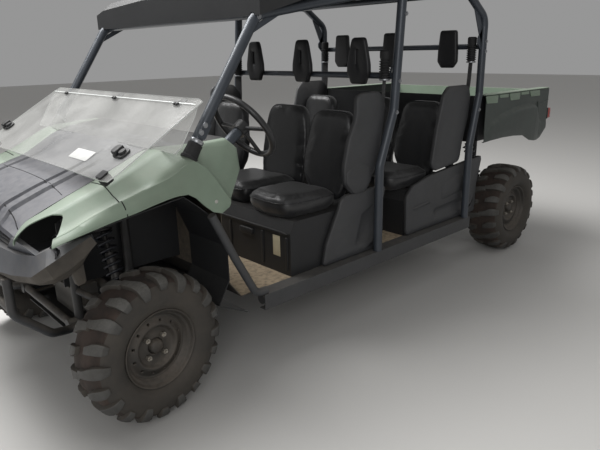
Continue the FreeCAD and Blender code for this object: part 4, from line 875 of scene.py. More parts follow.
def stood_on(spot, axis):
    """The matrix that stands a shape made about +Y on a spot, along an axis."""
    turn = Vector((0, 1, 0)).rotation_difference(Vector(axis).normalized()).to_matrix().to_4x4()
    return Matrix.Translation(Vector(spot)) @ turn


def placed(shape, place):
    return [tuple(place @ Vector(p)) for p in shape[0]], shape[1]


def turned_piece(name, spot, axis, profile, count, *materials):
    """A lathe-turned piece whose profile of radius and height stands on an axis."""
    return softened(solid(name, placed(lathe(profile, count), stood_on(spot, axis)), *materials), 40)


def hex_bolt(spot, outward, radius=0.0085, high=0.006):
    """The shape of a hexagon head on a washer."""
    washer = prism(circle(radius * 1.35, 20), 1, -0.002, 0.0012)
    return placed(merged(washer, prism(circle(radius, 6), 1, 0.001, high)), stood_on(spot, outward))


tubes = [bent_tube([(PILLAR_FOOT[0], CAGE_Y * side, PILLAR_FOOT[1]), (PILLAR_KNEE[0], CAGE_Y * side, PILLAR_KNEE[1]),
                    (RAIL_END[0], RAIL_END[1] * side, RAIL_END[2])], CAGE_RADIUS) for side, _ in SIDES]
tubes.append(bent_tube([(KNEE_BAR_X, -CAGE_Y, KNEE_BAR_Z), (KNEE_BAR_X, CAGE_Y, KNEE_BAR_Z)], BAR_RADIUS))
front_cage = softened(from_faces("front_cage_tubes", merged(*tubes), cage_coat), 40)
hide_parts("front_cage")
cage_parts = [(front_cage, "cage_steel")]

# the pillars' boots, clamps and plates; profiles are radius and height along the pillar
BOOT_Z, BOOT_TOP = 1.062, 0.068
BOOT_PROFILE = ((0.0235, -0.004), (0.036, -0.004), (0.036, 0.006), (0.032, 0.010), (0.030, 0.050),
                (0.031, 0.056), (0.030, 0.062), (0.0235, 0.064))
CLAMP_PROFILE = ((0.0228, -0.002), (0.028, -0.002), (0.029, 0.001), (0.029, 0.010), (0.028, 0.013), (0.0228, 0.013))
PILLAR_PLATE = ((1.246, 1.146, 0.012), (1.206, 1.203, 0.012), (1.172, 1.186, 0.012), (1.214, 1.126, 0.012))
# x, distance from the middle and z of one side's bolts
BOLT_SPOTS = ((1.226, 0.727, 1.160), (1.205, 0.727, 1.187), (0.905, 0.722, 1.601), (-0.088, 0.726, 1.640),
              (-0.052, 0.725, 1.300), (-0.035, 0.725, 1.135), (-0.930, 0.724, 1.500), (-0.930, 0.724, 1.440),
              (-0.905, 0.724, 1.080))
lean = Vector((PILLAR_KNEE[0] - PILLAR_FOOT[0], 0, PILLAR_KNEE[1] - PILLAR_FOOT[1])).normalized()
for side, word in SIDES:
    foot = Vector((PILLAR_FOOT[0], CAGE_Y * side, BOOT_Z))
    heads = merged(*[hex_bolt((x, y * side, z), (0, side, 0)) for x, y, z in BOLT_SPOTS])
    cage_parts += [
        (turned_piece("pillar_boot_" + word, foot, lean, BOOT_PROFILE, 36, black_rubber), "black_plastic"),
        (turned_piece("pillar_clamp_" + word, foot + lean * BOOT_TOP, lean, CLAMP_PROFILE, 36, zinc_bolt),
         "black_plastic"),
        (plate_piece("pillar_plate_" + word, arc_outline(PILLAR_PLATE), 1, *sorted((0.722 * side, 0.728 * side)),
                     0.0015, cage_coat), "cage_steel"),
        (rounded(solid("pillar_bolts_" + word, heads, zinc_bolt, smooth=False), 0.0008), "bare_steel")]

# welded gussets: name, corners as x and z, share of the cage's half width
GUSSETS = (("knee_gusset_", ((0.915, 1.565), (0.948, 1.525), (0.760, 1.618), (0.800, 1.628)), 1.0),
           ("rear_gusset_", ((-0.925, 1.560), (-0.925, 1.440), (-0.800, 1.690), (-0.840, 1.700)), 1.0),
           ("reel_gusset_", ((-0.925, 1.585), (-0.905, 1.580), (-0.862, 1.520), (-0.862, 1.490),
                             (-0.925, 1.430)), 1.0),
           ("bar_gusset_", ((-0.045, 1.335), (-0.062, 1.410), (-0.030, 1.335)), 0.955))
GUSSET_THICK = 0.006
for side, word in SIDES:
    for name, corners, share in GUSSETS:
        y = CAGE_Y * side * share
        web = prism(corners, 1, y - GUSSET_THICK / 2, y + GUSSET_THICK / 2)
        cage_parts.append((rounded(solid(name + word, web, cage_coat, smooth=False), 0.001), "cage_steel"))

# the belts: where each row's leaves its sleeve and where it ends at the buckle
BELTS = {"front": ((-0.014, 0.648, 1.306), (0.130, 0.628, 0.735)),
         "rear": ((-0.888, 0.648, 1.376), (-0.725, 0.628, 0.735))}
BELT_WIDE, BELT_THICK, BELT_ACROSS = 0.046, 0.0016, (0.55, 1.0, 0.1)
SLEEVE_Y, SLEEVE_LIFT, SLEEVE_RIBS, RIB_PITCH = 0.649, 0.004, 7, 0.013
RING_PROFILE = ((0.0005, 0.0), (0.026, 0.0), (0.029, 0.002), (0.0295, 0.006), (0.028, 0.009), (0.0005, 0.010))
# corners of a buckle from the belt's end, with their radius
BUCKLE = ((-0.020, -0.020, 0.008), (0.022, -0.020, 0.008), (0.030, 0.050, 0.010), (-0.012, 0.052, 0.010))
sleeve_profile = [(0.001, 0.0), (0.022, 0.0), (0.023, 0.004)]
for k in range(SLEEVE_RIBS):
    at = RIB_PITCH * k
    sleeve_profile += [(0.0235, 0.008 + at), (0.030, 0.010 + at), (0.030, 0.015 + at), (0.0235, 0.017 + at)]
sleeve_profile += [(0.025, 0.105), (0.028, 0.112), (0.028, 0.142), (0.022, 0.149), (0.001, 0.150)]


def eased(table, count):
    """Rows of a table drawn out to a smooth run of rows."""
    rows = [Vector(row) for row in table]
    rows = [rows[0] * 2 - rows[1]] + rows + [rows[-1] * 2 - rows[-2]]
    spans, drawn = len(rows) - 3, []
    for k in range(count):
        at = spans * k / (count - 1)
        i = min(int(at), spans - 1)
        t = at - i
        a, b, c, d = rows[i:i + 4]
        drawn.append(0.5 * (2 * b + (c - a) * t + (2 * a - 5 * b + 4 * c - d) * t * t +
                            (3 * b - a - 3 * c + d) * t * t * t))
    return drawn


def strap(name, path, across):
    """A flat belt along a path, its width held along one direction."""
    across = Vector(across).normalized() * BELT_WIDE / 2
    rings, last = [], len(path) - 1
    for k, here in enumerate(path):
        along = (path[min(k + 1, last)] - path[max(k - 1, 0)]).normalized()
        off = along.cross(across).normalized() * BELT_THICK / 2
        rings.append([here - across - off, here + across - off, here + across + off, here - across + off])
    return softened(solid(name, stack(rings), webbing), 50)


for row, (top, low) in BELTS.items():
    for side, word in SIDES:
        run = eased([(top[0], top[1] * side, top[2]), (top[0] + 0.012, (top[1] - 0.004) * side, top[2] - 0.18),
                     (top[0] + 0.060, (low[1] + 0.002) * side, (top[2] + low[2]) / 2 - 0.04),
                     (low[0], low[1] * side, low[2])], 24)
        reel = Vector((top[0], SLEEVE_Y * side, top[2] + SLEEVE_LIFT))
        belt = strap("%s_belt_%s" % (row, word), run,
                     (BELT_ACROSS[0], BELT_ACROSS[1] * side, BELT_ACROSS[2]))
        sleeve = turned_piece("%s_belt_sleeve_%s" % (row, word), reel, (0, 0, 1), sleeve_profile, 32, black_rubber)
        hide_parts("belt_reels")
        ring = turned_piece("%s_belt_ring_%s" % (row, word), reel + Vector((0, 0, -0.008)), (0, 0, 1), RING_PROFILE,
                            32, zinc_bolt)
        outline = arc_outline([(low[0] + x, low[2] + z, r) for x, z, r in BUCKLE])
        buckle = plate_piece("%s_buckle_%s" % (row, word), outline, 1, *sorted((0.620 * side, 0.636 * side)), 0.003,
                             black_plastic)
        cage_parts += [(belt, "black_plastic"), (sleeve, "black_plastic"), (ring, "bare_steel"),
                       (buckle, "black_plastic")]
for part, slot in cage_parts:
    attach(part, "vehicle")
cover(cage_coat, "middle_hoop", "rear_cage")
roof_black = shade("moulded_roof", (0.016, 0.017, 0.019), 0.50, second=(0.024, 0.025, 0.027), patch=3,
                   dust=(0.20, 0.19, 0.175), dusty=0.20, grain=500, depth=0.5)
cover(roof_black, "roof_panel")

# Coil-over units.
# Each wheel has a gas damper inside a coil wound from blue-black spring steel. They hang from the frame's
# posts by their heads and stand on the upper arms.

COIL_AXLES = (("front", 1.515), ("rear", -1.435))
COIL_FOOT, COIL_HEAD = (0.468, 0.456), (0.340, 0.764)
SPRING_RADIUS, WIRE_RADIUS, TURNS, TURN_STEPS = 0.0335, 0.0062, 7.5, 24
COIL_START, COIL_SHORTER = 0.060, 0.090
spring_steel = shade("blue_black_spring", (0.016, 0.019, 0.028), 0.4, metal=0.3, dust=(0.12, 0.105, 0.09),
                     dusty=0.3, gloss=0.3)
damper_coat = shade("damper_body", (0.030, 0.030, 0.032), 0.4, metal=0.5, dust=(0.16, 0.14, 0.12), dusty=0.4)
for row, axle_x in COIL_AXLES:
    for side, word in SIDES:
        foot, head = (Vector((axle_x, y * side, z)) for y, z in (COIL_FOOT, COIL_HEAD))
        axis, long = (head - foot).normalized(), (head - foot).length
        out = axis.cross(Vector((1, 0, 0))).normalized()
        fore = axis.cross(out)
        coil = []
        for k in range(int(TURNS * TURN_STEPS) + 1):
            turn = 2 * math.pi * k / TURN_STEPS
            at = COIL_START + (long - COIL_SHORTER) * k / (TURNS * TURN_STEPS)
            coil.append(foot + axis * at + (out * math.cos(turn) + fore * math.sin(turn)) * SPRING_RADIUS)
        spring = softened(from_faces("%s_spring_%s" % (row, word), bead(coil, WIRE_RADIUS, 10, closed=False),
                                     spring_steel), 60)
        # radius and height: lower eye and cup, body, rod, upper cup and eye
        profile = [(0.001, 0.0), (0.017, 0.0), (0.019, 0.003), (0.019, 0.046), (0.040, 0.048), (0.041, 0.054),
                   (0.021, 0.056), (0.0205, long * 0.62), (0.010, long * 0.63), (0.009, long - 0.034),
                   (0.039, long - 0.031), (0.040, long - 0.024), (0.018, long - 0.018), (0.018, long - 0.001),
                   (0.001, long)]
        damper = turned_piece("%s_damper_%s" % (row, word), foot, axis, profile, 32, damper_coat)
        for part in (spring, damper):
            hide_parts("coil_overs")
            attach(part, "vehicle")

# Dash and steering.
# The dash is a hollow moulding across the cab, over a painted steel steering column; the hand wheel has a
# thick moulded rim on three spokes.

column_paint = shade("column_paint", (0.075, 0.088, 0.105), 0.45, metal=0.2, patch=6)
cover(black_plastic, "dash")
cover(column_paint, "steering_column")
cover(vinyl, "steering_wheel")

# Hood, fenders and nose.
# Injection-moulded panels coloured right through: sage green fenders whose front end forks round the
# headlamp, a ribbed dark hood between them, and a grey bumper with a horn at each corner.

PANEL_WALL = 0.0035
sage = shade("sage_green_plastic", (0.215, 0.285, 0.215), 0.40, second=(0.175, 0.225, 0.170), patch=2.5,
             dust=(0.36, 0.37, 0.31), dusty=0.30, grain=900, depth=0.2)
hood_grey = shade("navy_grey_plastic", (0.050, 0.055, 0.070), 0.42, second=(0.038, 0.042, 0.054), patch=5,
                  dust=(0.26, 0.25, 0.25), dusty=0.42, grain=800, depth=0.3)
bumper_grey = shade("bumper_plastic", (0.080, 0.088, 0.104), 0.50, second=(0.062, 0.066, 0.076), patch=4,
                    dust=(0.27, 0.245, 0.21), dusty=0.32, grain=700, depth=0.4)
# near-black lines along the seams and the hood's step: painted shade for the gaps and the step
painted_gap_shade = shade("shadow_gap", (0.004, 0.004, 0.004), 0.9)
# brown mud on the bumper's lower faces and on the leg under the horn, its darker tone partly painted shade
mud_and_shade_skirt = shade("muddy_skirt_painted_shade", (0.070, 0.060, 0.048), 0.75, second=(0.045, 0.040, 0.035), patch=9,
                     grain=300, depth=0.5)
pale_clip = shade("pale_clip", (0.52, 0.52, 0.47), 0.45, patch=30)

# columns: x, then y and z of the hood-side edge, the ridge, the crease and the wheel-arch edge
FENDER = ((1.926, 0.546, 0.835, 0.575, 0.841, 0.704, 0.828, 0.726, 0.806),
          (1.895, 0.500, 0.851, 0.564, 0.862, 0.702, 0.840, 0.727, 0.815),
          (1.850, 0.462, 0.875, 0.558, 0.885, 0.699, 0.855, 0.728, 0.836),
          (1.778, 0.458, 0.903, 0.562, 0.914, 0.698, 0.874, 0.728, 0.853),
          (1.700, 0.455, 0.935, 0.572, 0.945, 0.698, 0.904, 0.728, 0.868),
          (1.620, 0.446, 0.963, 0.581, 0.975, 0.699, 0.930, 0.728, 0.883),
          (1.540, 0.438, 0.990, 0.590, 1.004, 0.702, 0.953, 0.728, 0.895),
          (1.455, 0.452, 1.032, 0.600, 1.044, 0.708, 0.980, 0.728, 0.912),
          (1.370, 0.470, 1.074, 0.610, 1.084, 0.716, 1.008, 0.730, 0.926),
          (1.310, 0.500, 1.090, 0.622, 1.096, 0.724, 1.044, 0.732, 0.926))
FENDER_ROWS, LOBE_STEPS = 64, 5
# the rear lobe: hood-side edge, ridge end, crease and arch edge, all swept down to the heel
LOBE = (((1.310, 0.500, 1.090), (1.310, 0.622, 1.096), (1.310, 0.724, 1.044), (1.310, 0.732, 0.926)),
        ((1.235, 0.545, 1.094), (1.240, 0.640, 1.098), (1.272, 0.728, 1.060), (1.272, 0.734, 0.902)),
        ((1.150, 0.600, 1.101), (1.160, 0.650, 1.104), (1.220, 0.730, 1.022), (1.236, 0.734, 0.864)),
        ((1.050, 0.604, 1.106), (1.056, 0.655, 1.108), (1.172, 0.730, 0.960), (1.196, 0.733, 0.830)),
        ((1.004, 0.604, 1.062), (1.008, 0.665, 1.064), (1.134, 0.729, 0.904), (1.152, 0.731, 0.816)),
        ((0.996, 0.610, 0.980), (1.000, 0.668, 0.980), (1.100, 0.724, 0.862), (1.110, 0.726, 0.834)))
# the side's hollow under the ridge: share of the way from ridge to crease, share of its depth
SCOOP = ((0.18, 0.20), (0.36, 0.48), (0.56, 0.80), (0.74, 1.0), (0.86, 0.92), (0.94, 0.50))
SCOOP_DEPTH, SCOOP_WAY = 0.026, Vector((0, -0.6, -0.8))
# behind the parting line the hollow turns into a slight bulge, and on the lobe back into a hollow
BULGE, BULGE_X, BULGE_RUN, LOBE_RATE, LOBE_HOLLOW = -0.45, 1.44, 0.14, 0.08, 0.5
# plan of the headlamp's opening, which splits the front end into an upper and a lower prong
LAMP_OPENING = ((1.752, 0.592, 0.012), (1.800, 0.556, 0.05), (1.862, 0.530, 0.04), (1.921, 0.552, 0.01),
                (2.000, 0.566, 0.01), (2.000, 0.800, 0.01), (1.862, 0.800, 0.01), (1.858, 0.728, 0.01),
                (1.817, 0.664, 0.03))


def sheet_mesh(name, rows, *materials):
    """An open skin through rows of points."""
    width = len(rows[0])
    faces = [(r * width + k, r * width + k + 1, (r + 1) * width + k + 1, (r + 1) * width + k)
             for r in range(len(rows) - 1) for k in range(width - 1)]
    return from_faces(name, ([tuple(p) for row in rows for p in row], faces), *materials)


def walled(skin, wall=PANEL_WALL):
    """Turns a skin's faces up at its first face, then thickens it to its inside."""
    if skin.data.polygons[0].normal.z < 0:
        skin.data.flip_normals()
    thick = skin.modifiers.new("wall", "SOLIDIFY")
    thick.thickness = wall
    thick.offset = -1
    keep(skin)
    true_faces(skin.data)
    return skin


def eased_table(table, count):
    """The smooth run for tables wider than a vector: each column is eased by itself."""
    columns = [eased([(row[k], 0, 0) for row in table], count) for k in range(len(table[0]))]
    return [tuple(column[i].x for column in columns) for i in range(count)]


def fender_section(hood_side, ridge, crease, arch, scoop):
    """One row across the fender: turned-down hood edge, top, ridge, scooped side, crease, flare and lip."""
    row = [hood_side + Vector((0, 0, -0.016)), hood_side + Vector((0, 0, -0.003)), hood_side.lerp(ridge, 0.06)]
    row += [hood_side.lerp(ridge, t) + Vector((0, 0, 0.004 * math.sin(math.pi * t))) for t in (0.3, 0.6, 0.88)]
    row.append(ridge.lerp(crease, 0.05) + Vector((0, 0, 0.001)))
    row += [ridge.lerp(crease, t) + SCOOP_WAY * SCOOP_DEPTH * scoop * depth for t, depth in SCOOP]
    row += [crease.lerp(ridge, 0.012), crease + Vector((0, 0.003, -0.003))]
    row += [crease.lerp(arch, t) + Vector((0, 0.005 * math.sin(math.pi * t), 0)) for t in (0.10, 0.4, 0.7, 0.95)]
    row += [arch + Vector((0, -0.001, -0.002)), arch + Vector((0, -0.014, -0.001))]
    return row


def fender_piece(name):
    rows = []
    for x, *edges in eased_table(FENDER, FENDER_ROWS):
        spots = [Vector((x, edges[k], edges[k + 1])) for k in (0, 2, 4, 6)]
        rows.append(fender_section(*spots, min(1.0, max(BULGE, (x - BULGE_X) / BULGE_RUN))))
    for here, ahead in zip(LOBE, LOBE[1:]):
        for step in range(1, LOBE_STEPS + 1):
            spots = [Vector(a).lerp(Vector(b), step / LOBE_STEPS) for a, b in zip(here, ahead)]
            rows.append(fender_section(*spots, min(LOBE_HOLLOW, BULGE + LOBE_RATE * (len(rows) - FENDER_ROWS))))
    opening = prism(arc_outline(LAMP_OPENING, 80), 2, 0.70, 1.00)
    return softened(cut_away(walled(sheet_mesh(name, rows, sage)), opening, "MANIFOLD"), 38)


def gap_line(name, path, host, width=0.0022):
    """A fine near-black line set in the surface of the piece it runs on, painted as the shade in the gap between two
    mouldings.
    """
    bpy.context.view_layer.update()
    spots = [host.closest_point_on_mesh(point)[1] for point in eased(path, 6 * len(path))]
    return solid(name, bead(spots, width, 6, closed=False), painted_gap_shade)


def mirror_twin(thing):
    """The right-hand twin of a finished left-hand piece."""
    return moved(thing, thing.name.replace("_left", "_right"), Vector((0, 0, 0)), True)


fender_left = fender_piece("front_fender_left")
parting = gap_line("fender_parting_left", [(1.586, 0.470, 0.982), (1.590, 0.596, 0.992), (1.583, 0.660, 0.960),
                                           (1.576, 0.706, 0.935), (1.572, 0.729, 0.886)], fender_left)
# a pale push clip holds the liner behind the wheel arch, on the skin that a line from outside meets
CLIP_PROFILE = ((0.0001, 0.0035), (0.0060, 0.0030), (0.0085, 0.0010), (0.0085, -0.002))
CLIP_X, CLIP_Z = 1.182, 0.872
bpy.context.view_layer.update()
_, clip_spot, clip_normal, _ = fender_left.ray_cast(Vector((CLIP_X, 0.850, CLIP_Z)), Vector((0, -1, 0)))
clip = solid("fender_clip_left", lathe(CLIP_PROFILE, 16), pale_clip)
clip.data.transform(stood_on(clip_spot, clip_normal))
BUMPER_LEG = ((1.712, 0.636, 0.012), (1.748, 0.628, 0.012), (1.772, 0.724, 0.006), (1.716, 0.732, 0.006))
leg = plate_piece("bumper_leg_left", arc_outline(BUMPER_LEG), 1, 0.588, 0.618, 0.005, mud_and_shade_skirt)
nose_parts = [(fender_left, "fenders", "green_panel"), (parting, None, "black_plastic"),
              (clip, None, "black_plastic"), (leg, None, "black_plastic")]
twins = [(mirror_twin(part), node, slot) for part, node, slot in nose_parts]

# columns: x, half width, edge height, crown height
HOOD = ((1.906, 0.500, 0.838, 0.862), (1.880, 0.484, 0.852, 0.884), (1.850, 0.458, 0.873, 0.905),
        (1.780, 0.453, 0.903, 0.933), (1.700, 0.450, 0.934, 0.962), (1.540, 0.433, 0.989, 1.011),
        (1.455, 0.447, 1.031, 1.048), (1.370, 0.465, 1.073, 1.084), (1.295, 0.475, 1.089, 1.099),
        (1.228, 0.598, 1.093, 1.103))
# share of the half width and share of the crown's rise, from the middle outward
HOOD_SECTION = ((0.0, 1.10), (0.20, 1.08), (0.40, 1.05), (0.500, 1.02), (0.516, 0.66), (0.585, 0.60),
                (0.604, 0.96), (0.690, 0.92), (0.716, 0.46), (0.790, 0.36), (0.900, 0.24), (0.975, 0.05),
                (1.0, -0.04))
HOOD_ROWS, HOOD_HEM = 60, 0.012


def hood_piece():
    rows = []
    for x, half, edge, crown in eased_table(HOOD, HOOD_ROWS):
        line = [(share * half, edge + rise * (crown - edge)) for share, rise in HOOD_SECTION]
        line.append((line[-1][0], line[-1][1] - HOOD_HEM))
        line = [(-y, z) for y, z in reversed(line[1:])] + line
        rows.append([Vector((x, y, z)) for y, z in line])
    rows.insert(0, [p + Vector((0.006, 0, -0.016)) for p in rows[0]])
    return softened(walled(sheet_mesh("ribbed_hood", rows, hood_grey)), 30)


def over_hood(half_path):
    """A path over the hood from left to right, from its left half and its middle point."""
    return half_path + [(x, -y, z) for x, y, z in reversed(half_path[:-1])]


hood = hood_piece()
nose_parts += [
    (hood, "hood", "dark_panel"),
    (gap_line("nose_seam_upper", over_hood([(1.884, 0.470, 0.86), (1.866, 0.360, 0.89), (1.848, 0.220, 0.90),
                                         (1.842, 0.0, 0.905)]), hood), None, "black_plastic"),
    (gap_line("hood_step", over_hood([(1.690, 0.440, 0.935), (1.684, 0.300, 0.97), (1.682, 0.150, 0.98),
                                   (1.682, 0.0, 0.985)]), hood, 0.0016), None, "black_plastic")]

# from the middle to the horn's tip: inner top edge, outer top edge, crease, lower crease and foot
BUMPER = (
    ((1.888, 0.0, 0.776), (1.938, 0.0, 0.777), (1.952, 0.0, 0.676), (1.946, 0.0, 0.664), (1.92, 0.0, 0.656)),
    ((1.882, 0.34, 0.776), (1.933, 0.35, 0.777), (1.948, 0.35, 0.676), (1.942, 0.35, 0.664), (1.915, 0.345, 0.656)),
    ((1.868, 0.48, 0.777), (1.915, 0.52, 0.779), (1.938, 0.5, 0.698), (1.928, 0.505, 0.672), (1.9, 0.48, 0.656)),
    ((1.842, 0.566, 0.784), (1.886, 0.62, 0.788), (1.912, 0.64, 0.722), (1.898, 0.64, 0.692), (1.868, 0.57, 0.657)),
    ((1.812, 0.606, 0.806), (1.85, 0.652, 0.811), (1.878, 0.7, 0.766), (1.856, 0.696, 0.714), (1.826, 0.6, 0.66)),
    ((1.77, 0.63, 0.812), (1.8, 0.668, 0.818), (1.826, 0.704, 0.789), (1.792, 0.7, 0.738), (1.776, 0.606, 0.67)),
    ((1.73, 0.65, 0.824), (1.75, 0.68, 0.829), (1.768, 0.704, 0.815), (1.738, 0.698, 0.766), (1.728, 0.62, 0.704)),
    ((1.69, 0.668, 0.836), (1.7, 0.688, 0.84), (1.708, 0.702, 0.838), (1.688, 0.698, 0.806), (1.684, 0.64, 0.776)))
BUMPER_STEPS = 6


def bumper_piece():
    half = [[Vector(a).lerp(Vector(b), step / BUMPER_STEPS) for a, b in zip(here, ahead)]
            for here, ahead in zip(BUMPER, BUMPER[1:]) for step in range(BUMPER_STEPS)]
    half.append([Vector(p) for p in BUMPER[-1]])
    rings = []
    for inner, outer, crease, low, foot in half:
        back = foot + Vector((-0.012, -0.030 * min(1, foot.y / 0.5), 0.006))
        rings.append([back, inner + Vector((-0.004, 0, -0.012)), inner, outer.lerp(inner, 0.10), outer,
                      outer.lerp(crease, 0.07), crease.lerp(outer, 0.06), crease, crease.lerp(low, 0.10),
                      low.lerp(crease, 0.10), low, low.lerp(foot, 0.10), foot])
    rings = [[Vector((p.x, -p.y, p.z)) for p in ring] for ring in reversed(rings[1:])] + rings
    bumper = solid("horned_bumper", stack(rings), bumper_grey, mud_and_shade_skirt)
    # faces that do not face up take the skirt: brown mud, partly painted shade under the bumper
    for face in bumper.data.polygons:
        face.material_index = 1 if face.normal.z < 0.05 else 0
    return softened(bumper, 30)


GRILLE_BACK = ((-0.398, 0.772), (0.398, 0.772), (0.430, 0.836), (-0.430, 0.836))
GRILLE_SLATS, SLAT_PITCH = 4, 0.014
# the light wedge between the grille and the left lamp
WEDGE = ((1.912, 0.408, 0.776), (1.916, 0.500, 0.838), (1.880, 0.628, 0.790), (1.868, 0.600, 0.776))


def grille_piece():
    """The recessed grille between the lamps: slats and posts over a back plate, with a wedge at each end."""
    shapes = [prism(GRILLE_BACK, 0, 1.862, 1.868)]
    for k in range(GRILLE_SLATS):
        z, tip = 0.782 + SLAT_PITCH * k, 1.905 - 0.006 * k
        shapes.append(prism(((1.866, z), (tip, z + 0.001), (tip, z + 0.005), (1.866, z + 0.005)), 1, -0.420, 0.420))
    for y in (-0.3, -0.2, -0.1, 0.0, 0.1, 0.2, 0.3):
        post = ((y - 0.003, 0.775), (y + 0.003, 0.775), (y + 0.003, 0.836), (y - 0.003, 0.836))
        shapes.append(prism(post, 0, 1.864, 1.893))
    wedge = [Vector(p) for p in WEDGE]
    inner = [p + Vector((-0.03, -0.004, -0.01)) for p in wedge]
    for side, _ in SIDES:
        shapes.append(stack([[Vector((p.x, p.y * side, p.z)) for p in ring] for ring in (inner, wedge)]))
    return rounded(solid("slatted_grille", merged(*shapes), bumper_grey, smooth=False), 0.0012)


nose_parts += [(bumper_piece(), "front_fascia", "dark_panel"), (grille_piece(), "front_fascia", "dark_panel")]

# headlamps: two small bowls, as place and radius, over the near-black floor of a well: painted shade in the recess
BOWLS = ((1.800, 0.600, 0.806, 0.034), (1.838, 0.672, 0.800, 0.026))
WELL = ((1.752, 0.600), (1.780, 0.648), (1.800, 0.654), (1.866, 0.592), (1.884, 0.500), (1.845, 0.456),
        (1.764, 0.492))
lamp_bowl = shade("smoked_reflector", (0.050, 0.050, 0.054), 0.18, metal=0.7, patch=20, gloss=0.5)
# the well's near-black floor is painted shade in the lamp's recess
well_painted_shade = shade("lamp_well", (0.010, 0.010, 0.012), 0.6)
ahead_and_up = Matrix.Rotation(math.radians(-90), 4, "Z") @ Matrix.Rotation(math.radians(8), 4, "X")
for side, word in SIDES:
    bowls = [placed(lathe([(0.004, -0.030), (radius * 0.5, -0.022), (radius * 0.85, -0.010), (radius, 0.0),
                           (radius * 1.06, 0.002), (radius * 1.06, -0.004)], 32),
                    Matrix.Translation((x, y * side, z)) @ ahead_and_up) for x, y, z, radius in BOWLS]
    well = prism([(x, y * side) for x, y in WELL], 2, 0.779, 0.786)
    nose_parts += [(from_faces("lamp_bowls_" + word, merged(*bowls), lamp_bowl), "headlamps", "lamp_clear"),
                   (solid("lamp_well_" + word, well, well_painted_shade, smooth=False), "headlamps", "black_plastic")]
for part, node, slot in nose_parts + twins:
    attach(part, "vehicle")
    if node:
        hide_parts(node)

# Windscreen.
# Two sheets of clear polycarbonate joined by bolted hinges, the upper one folded forward over the hood and
# held by knobs and rubber feet. Dust and cloths have scratched them hazy. Their sawn edges and a line along the
# hinge are pale: a painted highlight.

SCREEN_FOOT, SCREEN_HINGE, SCREEN_EDGE = (1.345, 1.089), (1.230, 1.272), (1.638, 1.026)
SCREEN_HALF, SCREEN_WALL, SCREEN_OVERLAP = 0.737, 0.0045, 0.030


def hazy_sheet():
    """Clear sheet whose veil of dust and fine scratches hides a little of what lies behind."""
    material = bpy.data.materials.new("hazy_polycarbonate")
    material.use_nodes = True
    nodes, links = material.node_tree.nodes, material.node_tree.links
    skin = nodes["Principled BSDF"]
    skin.inputs["Base Color"].default_value = (0.60, 0.60, 0.58, 1)
    skin.inputs["Roughness"].default_value = 0.16
    skin.inputs["IOR"].default_value = 1.45
    place = add(nodes, "ShaderNodeTexCoord")
    haze = add(nodes, "ShaderNodeTexNoise", Scale=4.0, Detail=7.0, Distortion=0.8)
    links.new(place.outputs["Object"], haze.inputs["Vector"])
    stretch = add(nodes, "ShaderNodeMapping", Scale=(18, 140, 18), Rotation=(0, 0, 0.5))
    links.new(place.outputs["Object"], stretch.inputs["Vector"])
    scratch = add(nodes, "ShaderNodeTexNoise", Scale=1.0)
    links.new(stretch.outputs["Vector"], scratch.inputs["Vector"])
    veil = add(nodes, "ShaderNodeMapRange", From_Min=0.35, From_Max=0.70, To_Min=0.13, To_Max=0.33)
    links.new(haze.outputs["Fac"], veil.inputs["Value"])
    lines = add(nodes, "ShaderNodeMapRange", From_Min=0.66, From_Max=0.80, To_Min=0.0, To_Max=0.22)
    links.new(scratch.outputs["Fac"], lines.inputs["Value"])
    both = add(nodes, "ShaderNodeMath")
    both.operation = "ADD"
    links.new(veil.outputs["Result"], both.inputs[0])
    links.new(lines.outputs["Result"], both.inputs[1])
    links.new(both.outputs["Value"], skin.inputs["Alpha"])
    return material


clear_sheet = hazy_sheet()
# pale glossy colour on the sheets' edges and along the hinge: painted highlight
painted_edge_highlight = shade("sheet_edge_painted_highlight", (0.74, 0.76, 0.74), 0.3, gloss=0.4)
pale_label = shade("pale_label", (0.62, 0.62, 0.60), 0.6, patch=12)


def slope_frame(start, end):
    """A frame whose x runs from start to end in side view, y across the vehicle and z off the sheet."""
    along = Vector((end[0] - start[0], 0, end[1] - start[1])).normalized()
    off = Vector((0, 1, 0)).cross(along) * -1
    if off.z < 0:
        off.negate()
    turn = Matrix((along, Vector((0, 1, 0)), off)).transposed().to_4x4()
    return Matrix.Translation((start[0], 0, start[1])) @ turn


def clear_half(name, start, end, past=0.0):
    """One sheet with rounded corners; its rim takes the second material, a painted highlight."""
    long = (Vector(end) - Vector(start)).length
    outline = arc_outline(((-past, -SCREEN_HALF, 0.012), (long, -SCREEN_HALF, 0.035), (long, SCREEN_HALF, 0.035),
                           (-past, SCREEN_HALF, 0.012)))
    place = slope_frame(start, end)
    sheet = solid(name, placed(prism(outline, 2, -SCREEN_WALL / 2, SCREEN_WALL / 2), place), clear_sheet, painted_edge_highlight,
                  smooth=False)
    off = place.to_3x3() @ Vector((0, 0, 1))
    for face in sheet.data.polygons:
        face.material_index = 0 if abs(face.normal.dot(off)) > 0.5 else 1
    return sheet


screen_parts = [clear_half("lower_sheet", SCREEN_FOOT, SCREEN_HINGE),
                clear_half("folded_sheet", SCREEN_HINGE, SCREEN_EDGE, SCREEN_OVERLAP)]
for sheet in screen_parts:
    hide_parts("windscreen")
fold = slope_frame(SCREEN_HINGE, SCREEN_EDGE)
fold_reach = (Vector(SCREEN_EDGE) - Vector(SCREEN_HINGE)).length


def on_fold(name, outline, low, high, edge, material, y=0.0, x=0.0):
    """A moulded piece on the folded sheet: its outline along and across it, its two faces' heights off it."""
    shape = placed(prism([(a + x, b + y) for a, b in outline], 2, low, high), fold)
    piece = rounded(solid(name, shape, material, smooth=False), edge, 3)
    piece.data.shade_smooth()
    return piece


# a pale strip along the hinge: painted highlight
screen_parts.append(on_fold("hinge_line", oblong(0.006, -0.735, 0.012, 0.735, 0.002), 0.002, 0.0045, 0.0008,
                            painted_edge_highlight))
